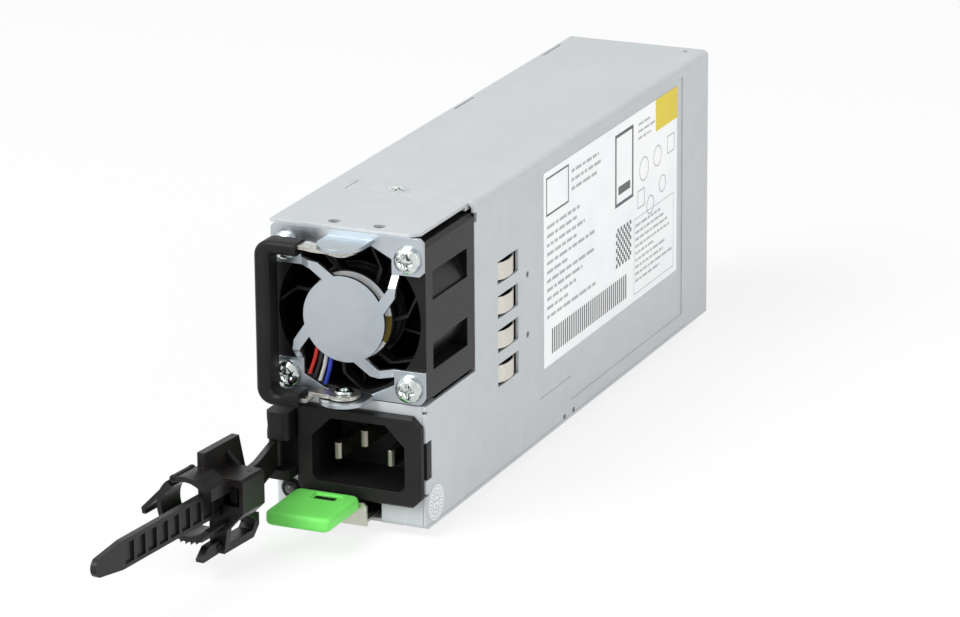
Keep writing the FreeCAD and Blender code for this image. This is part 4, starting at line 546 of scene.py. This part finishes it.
def copied(node: str) -> bmesh.types.BMesh:
    """A copy of a CAD node's shape, with its doubled points merged."""
    mesh = bmesh.new()
    mesh.from_mesh(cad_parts[node].data)
    bmesh.ops.remove_doubles(mesh, verts=mesh.verts, dist=COPY_MERGE)
    return mesh


def linked(name: str, mesh: bmesh.types.BMesh) -> bpy.types.Object:
    """Turn a bmesh into an object of the scene and free it."""
    data = bpy.data.meshes.new(name)
    mesh.to_mesh(data)
    mesh.free()
    made = bpy.data.objects.new(name, data)
    bpy.context.scene.collection.objects.link(made)
    return made


def bevelled(mesh: bmesh.types.BMesh, edges: list[bmesh.types.BMEdge], offset: float,
             segments: int) -> None:
    """Round edges of a mesh.

    Args:
        mesh: the mesh.
        edges: the edges to round.
        offset: how far the rounding reaches from an edge.
        segments: how many faces the rounding has.
    """
    bmesh.ops.bevel(mesh, geom=edges, offset=offset, offset_type="OFFSET", affect="EDGES",
                    segments=segments, profile=0.5, material=-1, clamp_overlap=True)


def piece(name: str, mesh: bmesh.types.BMesh, material: bpy.types.Material, body: str,
          round_angle: float = 0.0) -> bpy.types.Object:
    """Turn a bmesh into a piece that rides on a body.

    Args:
        name: the piece's name.
        mesh: the shape, in metres, in the frame of the case.
        material: its finish.
        body: the CAD body that it moves with.
        round_angle: faces that meet at less than this angle, in degrees, are shaded as one.

    Returns:
        The new object.
    """
    bmesh.ops.remove_doubles(mesh, verts=mesh.verts, dist=PIECE_MERGE)
    bmesh.ops.recalc_face_normals(mesh, faces=mesh.faces)
    for face in mesh.faces:
        face.smooth = round_angle > 0
    made = linked(name, mesh)
    if round_angle:
        made.data.set_sharp_from_angle(angle=math.radians(round_angle))
    made.data.materials.append(material)
    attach(made, body)
    LOG.info("%s: %d faces on %s", name, len(made.data.polygons), body)
    return made


def plate(mesh: bmesh.types.BMesh, low: Vector, high: Vector) -> None:
    """Add a thin rectangular plate between two corners to a mesh."""
    made = bmesh.ops.create_cube(mesh, size=1.0)
    bmesh.ops.scale(mesh, verts=made["verts"], vec=high - low)
    bmesh.ops.translate(mesh, verts=made["verts"], vec=(low + high) / 2)


def spun_ring(mesh: bmesh.types.BMesh, middle: Vector, axis: Vector, out: Vector, inner: float,
              outer: float, thick: float, start: float = 0.0, turn: float = 360.0,
              steps: int = 48) -> None:
    """Add a flat ring, or a part of one, spun about an axis.

    Args:
        mesh: the mesh to add to.
        middle: the centre of the ring's lower face.
        axis: the unit axis, towards the upper face.
        out: the unit direction from which the angle is counted.
        inner: the inner radius.
        outer: the outer radius.
        thick: the thickness.
        start: the first angle, in degrees.
        turn: how far it goes round, in degrees.
        steps: how many steps the spin takes.
    """
    spoke = Matrix.Rotation(math.radians(start), 3, axis) @ out
    section = [mesh.verts.new(middle + spoke * radius + axis * up) for radius, up in (
        (inner, 0), (outer, 0), (outer, thick), (inner, thick))]
    face = mesh.faces.new(section)
    whole = turn >= 360
    bmesh.ops.spin(mesh, geom=[face] + list(face.edges) + section, cent=middle, axis=axis,
                   angle=math.radians(turn), steps=steps, use_merge=whole)
    if whole:
        bmesh.ops.delete(mesh, geom=[face], context="FACES_ONLY")


def softened(node: str, body: str, coat: bpy.types.Material, bevel_mm: float,
             smooth: float = 50.0) -> bpy.types.Object:
    """A copy of a CAD node with its sharp edges rounded, which stands for that node.

    Args:
        node: the CAD node.
        body: the body that it moves with.
        coat: its finish.
        bevel_mm: how far the rounding reaches from an edge, or 0 to only shade it round.
        smooth: faces that meet at less than this angle, in degrees, are shaded as one.

    Returns:
        The rounded piece.
    """
    flat, sharp = math.radians(1.0), math.radians(30.0)
    mesh = copied(node)
    bmesh.ops.dissolve_limit(mesh, angle_limit=flat, verts=mesh.verts, edges=mesh.edges)
    if bevel_mm:
        bevelled(mesh, [edge for edge in mesh.edges if edge.is_manifold
                        and edge.calc_face_angle(0.0) > sharp], bevel_mm * MM, 3)
    made = piece(f"{node}_rounded", mesh, coat, body, smooth)
    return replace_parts(made, node)


def carved(mesh: bmesh.types.BMesh, cutter: bmesh.types.BMesh) -> bmesh.types.BMesh:
    """Take one closed shape out of another.

    Args:
        mesh: the shape that is cut; it is freed.
        cutter: the shape that is taken out; it is freed.

    Returns:
        What is left of the first shape.
    """
    blank, tool = linked("carve_blank", mesh), linked("carve_cutter", cutter)
    carve = blank.modifiers.new("carve", "BOOLEAN")
    carve.object, carve.operation, carve.solver = tool, "DIFFERENCE", "MANIFOLD"
    bpy.context.view_layer.update()
    graph = bpy.context.evaluated_depsgraph_get()
    result = bpy.data.meshes.new_from_object(blank.evaluated_get(graph))
    left = bmesh.new()
    left.from_mesh(result)
    for item in (blank, tool):
        data = item.data
        bpy.data.objects.remove(item)
        bpy.data.meshes.remove(data)
    bpy.data.meshes.remove(result)
    return left


@dataclass(frozen=True)
class Area:
    """A rectangle on the label, in millimetres from its lower front corner."""

    depth: float
    up: float
    wide: float
    tall: float


@dataclass(frozen=True)
class Rows:
    """Rows of blank dashes, in millimetres from the label's lower front corner."""

    depth: float
    top: float
    wide: float
    count: int
    fill: float
    scale: float = 1.0


@dataclass(frozen=True)
class Ticks:
    """A circle of ticks: radii in millimetres, and the turn that each takes in degrees."""

    count: int
    inner: float
    outer: float
    turn: float
    steps: int


@dataclass
class LabelDress:
    """Print on the side label, without words, and the rings of the round seal."""

    wardrobe: Wardrobe
    ink: float = 0.02 * MM
    seed: int = 7
    row_pitch: float = 2.35 * MM
    row_height: float = 0.85 * MM
    space: float = 0.8 * MM
    shortest_dash: float = 1.4
    longest_dash: float = 5.0
    overrun: float = 0.5 * MM
    rows: tuple[Rows, ...] = (
        Rows(18, 46.5, 22, 3, 0.7), Rows(2, 36, 34, 11, 0.35),
        Rows(61, 20, 26, 9, 0.5, 0.8), Rows(63, 47, 12, 3, 0.6, 0.8))
    circles: tuple[tuple[float, float, float], ...] = (
        (67, 34.5, 3.3), (76.5, 35.5, 2.9), (71.5, 23.5, 2.6), (80, 27, 2.4))
    pale_line: float = 0.35
    boxes: tuple[Area, ...] = (Area(62.5, 24.5, 5, 5), Area(83.5, 34, 5, 5))
    serial_box: Area = Area(60, 1.8, 28, 20.6)
    serial_line: float = 0.2
    mark_box: Area = Area(1.6, 39.4, 14.5, 10)
    mark_line: float = 0.5
    badge_box: Area = Area(47, 29, 12.5, 19.5)
    badge_line: float = 0.9
    badge_band: Area = Area(49.2, 32, 8.1, 2.2)
    check_at: tuple[float, float] = (47.6, 12.6)
    check_count: int = 10
    check_side: float = 1.05
    bars: Area = Area(5, 2.6, 0.7, 6.6)
    bar_count: int = 36
    bar_pitch: float = 1.4
    circle_steps: int = 40
    seal_rings: tuple[tuple[float, float], ...] = ((3.75, 3.95), (1.75, 2.05))
    seal_ticks: tuple[Ticks, ...] = (Ticks(22, 2.5, 3.3, 7.0, 2), Ticks(3, 0.4, 1.2, 50.0, 6))

    def __post_init__(self) -> None:
        """Find the label and seed the lengths of the dashes."""
        self.low, self.high = (Vector(corner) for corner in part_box("side_label"))
        self.random = random.Random(self.seed)

    def print_area(self, mesh: bmesh.types.BMesh, depth: float, up: float, wide: float,
                   tall: float) -> None:
        """Add a printed rectangle, in metres.

        Args:
            mesh: the mesh to add to.
            depth: how far it starts behind the label's front edge.
            up: how far it starts above the label's lower edge.
            wide: its width.
            tall: its height.
        """
        corner = Vector((self.high.x, self.low.y + depth, self.low.z + up))
        plate(mesh, corner, corner + Vector((self.ink, wide, tall)))

    def frame_area(self, mesh: bmesh.types.BMesh, area: Area, line_mm: float) -> None:
        """Add an empty frame.

        Args:
            mesh: the mesh to add to.
            area: the outside of the frame.
            line_mm: the width of its lines.
        """
        depth, up, wide, tall, line = (
            size * MM for size in (area.depth, area.up, area.wide, area.tall, line_mm))
        self.print_area(mesh, depth, up, wide, line)
        self.print_area(mesh, depth, up + tall - line, wide, line)
        self.print_area(mesh, depth, up + line, line, tall - 2 * line)
        self.print_area(mesh, depth + wide - line, up + line, line, tall - 2 * line)

    def dashes(self, mesh: bmesh.types.BMesh, rows: Rows) -> None:
        """Add rows of blank dashes where a rating plate has its lines.

        Args:
            mesh: the mesh to add to.
            rows: where they stand, how many there are and how long.
        """
        depth, top, wide = rows.depth * MM, rows.top * MM, rows.wide * MM
        for row in range(rows.count):
            at, end = depth, depth + wide * self.random.uniform(rows.fill, 1.0)
            up = top - row * self.row_pitch * rows.scale
            while at < end:
                length = self.random.uniform(self.shortest_dash, self.longest_dash)
                length = length * MM * rows.scale
                self.print_area(mesh, at, up, min(length, end - at + self.overrun),
                                self.row_height * rows.scale)
                at += length + self.space * rows.scale

    def pale_print(self) -> bpy.types.Object:
        """Rows of dashes, blank boxes and circles in grey."""
        mesh = bmesh.new()
        for rows in self.rows:
            self.dashes(mesh, rows)
        for depth, up, radius in self.circles:
            spot = Vector((self.high.x, self.low.y + depth * MM, self.low.z + up * MM))
            spun_ring(mesh, spot, Vector((1, 0, 0)), Vector((0, 1, 0)),
                      (radius - self.pale_line) * MM, radius * MM, self.ink,
                      steps=self.circle_steps)
        for box in self.boxes:
            self.frame_area(mesh, box, self.pale_line)
        self.frame_area(mesh, self.serial_box, self.serial_line)
        return piece("label_rows", mesh, self.wardrobe.material(Coat.INK), "supply")

    def dark_print(self) -> bpy.types.Object:
        """Two empty frames, a checked field and an even band of bars in dark grey."""
        mesh = bmesh.new()
        self.frame_area(mesh, self.mark_box, self.mark_line)
        self.frame_area(mesh, self.badge_box, self.badge_line)
        band, bar, side = self.badge_band, self.bars, self.check_side
        self.print_area(mesh, band.depth * MM, band.up * MM, band.wide * MM, band.tall * MM)
        for row in range(self.check_count):
            for column in range(row % 2, self.check_count, 2):
                self.print_area(mesh, (self.check_at[0] + column * side) * MM,
                                (self.check_at[1] + row * side) * MM, side * MM, side * MM)
        for index in range(self.bar_count):
            self.print_area(mesh, (bar.depth + index * self.bar_pitch) * MM, bar.up * MM,
                            bar.wide * MM, bar.tall * MM)
        return piece("label_marks", mesh, self.wardrobe.material(Coat.DARK_INK), "supply")

    def seal_print(self) -> bpy.types.Object:
        """Two rings and two circles of ticks on the round seal."""
        mesh = bmesh.new()
        middle = centre("seal_sticker")
        middle.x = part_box("seal_sticker")[1][0]
        axis, out = Vector((1, 0, 0)), Vector((0, 1, 0))
        for inner, outer in self.seal_rings:
            spun_ring(mesh, middle, axis, out, inner * MM, outer * MM, self.ink)
        for ticks in self.seal_ticks:
            for tick in range(ticks.count):
                spun_ring(mesh, middle, axis, out, ticks.inner * MM, ticks.outer * MM, self.ink,
                          tick * 360 / ticks.count, ticks.turn, ticks.steps)
        return piece("seal_rings", mesh, self.wardrobe.material(Coat.INK), "supply")

    def build(self) -> None:
        """Print the label and the seal."""
        self.pale_print()
        self.dark_print()
        self.seal_print()


@dataclass
class FanDress:
    """The film ring round the fan motor and the round heads of the guard's screws."""

    wardrobe: Wardrobe
    ring_outer: float = 10.95 * MM
    ring_inner: float = 8.0 * MM
    film: float = 0.1 * MM
    base_setback: float = 0.3 * MM
    olive_start: float = -6.0
    olive_turn: float = 38.0
    step_turn: float = 5.0
    fewest_steps: int = 6

    def hub_film(self) -> None:
        """A film ring on the front of the motor base, olive over part of its right side."""
        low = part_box("fan_frame")[0]
        middle = centre("fan_frame")
        middle.y = low[1] + self.base_setback - self.film
        along, out = Vector((0, 1, 0)), Vector((1, 0, 0))
        ends = self.olive_start + self.olive_turn
        for name, coat, start, turn in (
                ("fan_hub_film", Coat.SEAL, ends, 360 - self.olive_turn),
                ("fan_hub_patch", Coat.OLIVE, self.olive_start, self.olive_turn)):
            mesh = bmesh.new()
            spun_ring(mesh, middle, along, out, self.ring_inner, self.ring_outer, self.film,
                      start, turn, max(self.fewest_steps, round(turn / self.step_turn)))
            piece(name, mesh, self.wardrobe.material(coat), "supply")

    def build(self) -> None:
        """Add the fan's film ring and round its screws."""
        self.hub_film()
        softened("guard_screws", "supply", self.wardrobe.material(Coat.SCREW), 0.0,
                 smooth=48.0)


@dataclass
class GuardDress:
    """The fan guard, whose flange is drilled under the two holes of the lid."""

    wardrobe: Wardrobe
    holes: tuple[tuple[float, float], ...] = ((-4.8 * MM, 3.7 * MM), (7.0 * MM, 3.7 * MM))
    radius: float = 1.5 * MM
    reach: float = 1.2 * MM
    sides: int = 32

    def build(self) -> None:
        """Drill the flange, so that the holes show the dark fan frame below."""
        mesh = copied("fan_guard")
        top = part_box("fan_guard")[1][2]
        for across, depth in self.holes:
            drill = bmesh.new()
            bmesh.ops.create_cone(drill, cap_ends=True, segments=self.sides, radius1=self.radius,
                                  radius2=self.radius, depth=2 * self.reach,
                                  matrix=Matrix.Translation((across, depth, top)))
            before = mesh.calc_volume()
            mesh = carved(mesh, drill)
            LOG.info("fan_guard: %.3f mm3 drilled away", (before - mesh.calc_volume()) * 1e9)
        made = piece("fan_guard_drilled", mesh, self.wardrobe.material(Coat.GUARD), "supply")
        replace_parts(made, "fan_guard")


@dataclass
class HandleDress:
    """The rounded grip of the fold-out handle."""

    wardrobe: Wardrobe
    round_mm: float = 0.35

    def build(self) -> None:
        """Round the grip."""
        softened("handle_grip", "handle", self.wardrobe.material(Coat.GRIP),
                 self.round_mm)


@dataclass
class LatchDress:
    """The green release tab with its soft edges, thumb pocket and slot, with a dark plate of
    painted shade in the slot.
    """

    wardrobe: Wardrobe
    corner: float = 2.1 * MM
    edge: float = 1.15 * MM
    pocket_from: tuple[float, float] = (6.1 * MM, 12.6 * MM)
    pocket_to: tuple[float, float] = (13.6 * MM, 16.8 * MM)
    pocket_depth: float = 0.45 * MM
    pocket_edge: float = 0.35 * MM
    slot_from: tuple[float, float] = (6.5 * MM, 12.9 * MM)
    slot_to: tuple[float, float] = (12.1 * MM, 15.8 * MM)
    slot_depth: float = 0.6 * MM
    # thickness of the thin dark plate that paints the slot's shade
    painted_shade_plate: float = 0.1 * MM

    def block(self, low: Vector, high: Vector, corner: float, edge: float) -> bmesh.types.BMesh:
        """A box with round upright corners and round upper and lower edges.

        Args:
            low: its lowest corner.
            high: its highest corner.
            corner: how far the upright corners are rounded.
            edge: how far the upper and lower edges are rounded.

        Returns:
            The rounded box.
        """
        mesh = bmesh.new()
        plate(mesh, low, high)
        sharp = math.radians(60)
        for offset, upright, segments in ((corner, True, 6), (edge, False, 5)):
            bevelled(mesh, [e for e in mesh.edges if e.calc_face_angle(0.0) > sharp
                            and (abs(e.verts[0].co.z - e.verts[1].co.z) > LEVEL) == upright],
                     offset, segments)
        return mesh

    def build(self) -> None:
        """Mould the tab, sink its pocket and slot, and lay a thin dark plate in the slot that
        paints its shade.
        """
        low, high = (Vector(corner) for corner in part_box("latch_tab"))
        clear = Vector((0, 0, 2 * MM))
        sunk = Vector((0, 0, self.pocket_depth))
        floor = Vector((0, 0, self.slot_depth))
        start = Vector((low.x, low.y, high.z))
        pocket = self.block(start + Vector((*self.pocket_from, 0)) - sunk,
                            start + Vector((*self.pocket_to, 0)) + clear,
                            self.pocket_edge, self.pocket_edge)
        tab = carved(self.block(low, high, self.corner, self.edge), pocket)
        slot = bmesh.new()
        plate(slot, start + Vector((*self.slot_from, 0)) - floor,
              start + Vector((*self.slot_to, 0)) + clear)
        made = piece("latch_tab_moulding", carved(tab, slot), self.wardrobe.material(Coat.TAB),
                     "latch", 40.0)
        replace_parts(made, "latch_tab")
        # painted shade: a thin dark plate on the slot's floor stands for the shade of the open
        # slot
        painted_shade_plate = bmesh.new()
        plate(painted_shade_plate, start + Vector((*self.slot_from, 0)) - floor,
              start + Vector((*self.slot_to, self.painted_shade_plate)) - floor)
        piece("latch_tab_slot_painted_shade", painted_shade_plate, self.wardrobe.material(Coat.STRAP), "latch")


@dataclass
class BoardDress:
    """Contacts on the far face of the board's edge."""

    wardrobe: Wardrobe
    thick: float = 0.05 * MM
    count: int = 12
    pitch: float = 4.4 * MM

    def build(self) -> None:
        """Add the row of contacts that faces the left wall."""
        low, high = (Vector(corner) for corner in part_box("edge_contacts"))
        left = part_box("main_board")[0][0]
        tall = (high.z - low.z) - (self.count - 1) * self.pitch
        mesh = bmesh.new()
        for index in range(self.count):
            up = low.z + index * self.pitch
            plate(mesh, Vector((left - self.thick, low.y, up)), Vector((left, high.y, up + tall)))
        piece("edge_contacts_far_side", mesh, self.wardrobe.material(Coat.CONTACT), "supply")


@dataclass(frozen=True)
class Lamp:
    """A square soft lamp: its place and side in metres, and its power in watts."""

    name: str
    spot: tuple[float, float, float]
    size: float
    power: float


@dataclass
class Studio:
    """Pale floor, soft light and the camera."""

    azimuth: float = 23.92
    elevation: float = 17.89
    roll: float = -0.45
    distance: float = 1161.5 * MM
    target: tuple[float, float, float] = (7.78 * MM, 60 * MM, 36.39 * MM)
    focal_px: float = 4669.0
    frame_px: float = 960.0
    sensor_mm: float = 36
    nearest: float = 0.01
    farthest: float = 30
    floor_drop: float = 0.3 * MM
    floor_size: float = 6
    floor_glow: float = 0.8
    surround_light: float = 0.5
    lamps: tuple[Lamp, ...] = (
        Lamp("key", (-0.5, -0.9, 1.2), 0.9, 21), Lamp("side", (1.3, -0.2, 0.7), 1.0, 8),
        Lamp("low_front", (-0.6, -1.2, 0.35), 0.6, 3))

    def camera(self) -> None:
        """A long lens in front of the object, to its right and above."""
        a, e, r = (math.radians(v) for v in (self.azimuth, self.elevation, self.roll))
        back = Vector((math.sin(a) * math.cos(e), -math.cos(a) * math.cos(e), math.sin(e)))
        right = (-back).cross(Vector((0, 0, 1))).normalized()
        up = right.cross(-back)
        side = right * math.cos(r) + up * math.sin(r)
        top = up * math.cos(r) - right * math.sin(r)
        data = bpy.data.cameras.new("camera")
        data.sensor_width = self.sensor_mm
        data.lens = self.focal_px / self.frame_px * self.sensor_mm
        data.clip_start, data.clip_end = self.nearest, self.farthest
        made = bpy.data.objects.new("camera", data)
        bpy.context.scene.collection.objects.link(made)
        turn = Matrix((side, top, back)).transposed().to_4x4()
        made.matrix_world = Matrix.Translation(Vector(self.target) + back * self.distance) @ turn
        bpy.context.scene.camera = made

    def place_lamp(self, lamp: Lamp) -> None:
        """Add a lamp that looks at the middle of the object."""
        data = bpy.data.lights.new(lamp.name, "AREA")
        data.size, data.energy = lamp.size, lamp.power
        made = bpy.data.objects.new(lamp.name, data)
        bpy.context.scene.collection.objects.link(made)
        turn = (Vector(self.target) - Vector(lamp.spot)).to_track_quat("-Z", "Y")
        made.matrix_world = Matrix.Translation(lamp.spot) @ turn.to_matrix().to_4x4()

    def seen(self, s: Shading) -> bpy.types.NodeSocket:
        """1 for rays from the camera, from gloss and through glass."""
        path = s.add("ShaderNodeLightPath")
        first = s.math("MAXIMUM", path.outputs["Is Camera Ray"], path.outputs["Is Glossy Ray"])
        return s.math("MAXIMUM", first, path.outputs["Is Transmission Ray"])

    def floor(self) -> None:
        """A wide pale floor that keeps the object's shadow."""
        mesh = bmesh.new()
        low = CAD_BOX[0][2] - self.floor_drop
        bmesh.ops.create_grid(mesh, x_segments=1, y_segments=1, size=self.floor_size)
        bmesh.ops.translate(mesh, verts=mesh.verts, vec=(0, 0, low))
        made = linked("floor", mesh)
        s = Shading("pale_floor")
        s.set(Base_Color=linear("#F2F2F2"), Roughness=0.9, Specular_IOR_Level=0.1)
        glow = s.add("ShaderNodeEmission", {"Color": linear("#FFFFFF"), "Strength": 1.0})
        mask = s.math("MULTIPLY", self.seen(s), self.floor_glow)
        mixed = s.add("ShaderNodeMixShader", {0: mask, 1: s.shader.outputs[0], 2: glow.outputs[0]})
        s.tree.links.new(mixed.outputs[0], s.tree.nodes["Material Output"].inputs[0])
        made.data.materials.append(s.material)

    def world(self) -> None:
        """An even pale surround, white where the camera sees it."""
        made = bpy.data.worlds.new("surround")
        bpy.context.scene.world = made
        made.use_nodes = True
        tree = made.node_tree
        back = tree.nodes["Background"]
        back.inputs[0].default_value = linear("#F7F9FB")
        back.inputs[1].default_value = self.surround_light
        white = tree.nodes.new("ShaderNodeBackground")
        white.inputs[0].default_value = (1, 1, 1, 1)
        path = tree.nodes.new("ShaderNodeLightPath")
        mix = tree.nodes.new("ShaderNodeMixShader")
        seen = tree.nodes.new("ShaderNodeMath")
        seen.operation = "MAXIMUM"
        tree.links.new(path.outputs["Is Camera Ray"], seen.inputs[0])
        tree.links.new(path.outputs["Is Glossy Ray"], seen.inputs[1])
        tree.links.new(seen.outputs[0], mix.inputs[0])
        tree.links.new(back.outputs[0], mix.inputs[1])
        tree.links.new(white.outputs[0], mix.inputs[2])
        tree.links.new(mix.outputs[0], tree.nodes["World Output"].inputs[0])

    def build(self) -> None:
        """Set up camera, floor, lamps and surround."""
        bpy.context.scene.view_settings.view_transform = "Standard"
        self.camera()
        self.floor()
        self.world()
        for lamp in self.lamps:
            self.place_lamp(lamp)


def main() -> None:
    """Build the studio, dress the nodes and add the fitted pieces."""
    logging.basicConfig(level=logging.INFO, format="%(message)s")
    Studio().build()
    wardrobe = Wardrobe()
    wardrobe.dress_nodes()
    for dress in (LabelDress, FanDress, GuardDress, HandleDress, LatchDress, BoardDress):
        dress(wardrobe).build()


if __name__ == "__main__":
    main()
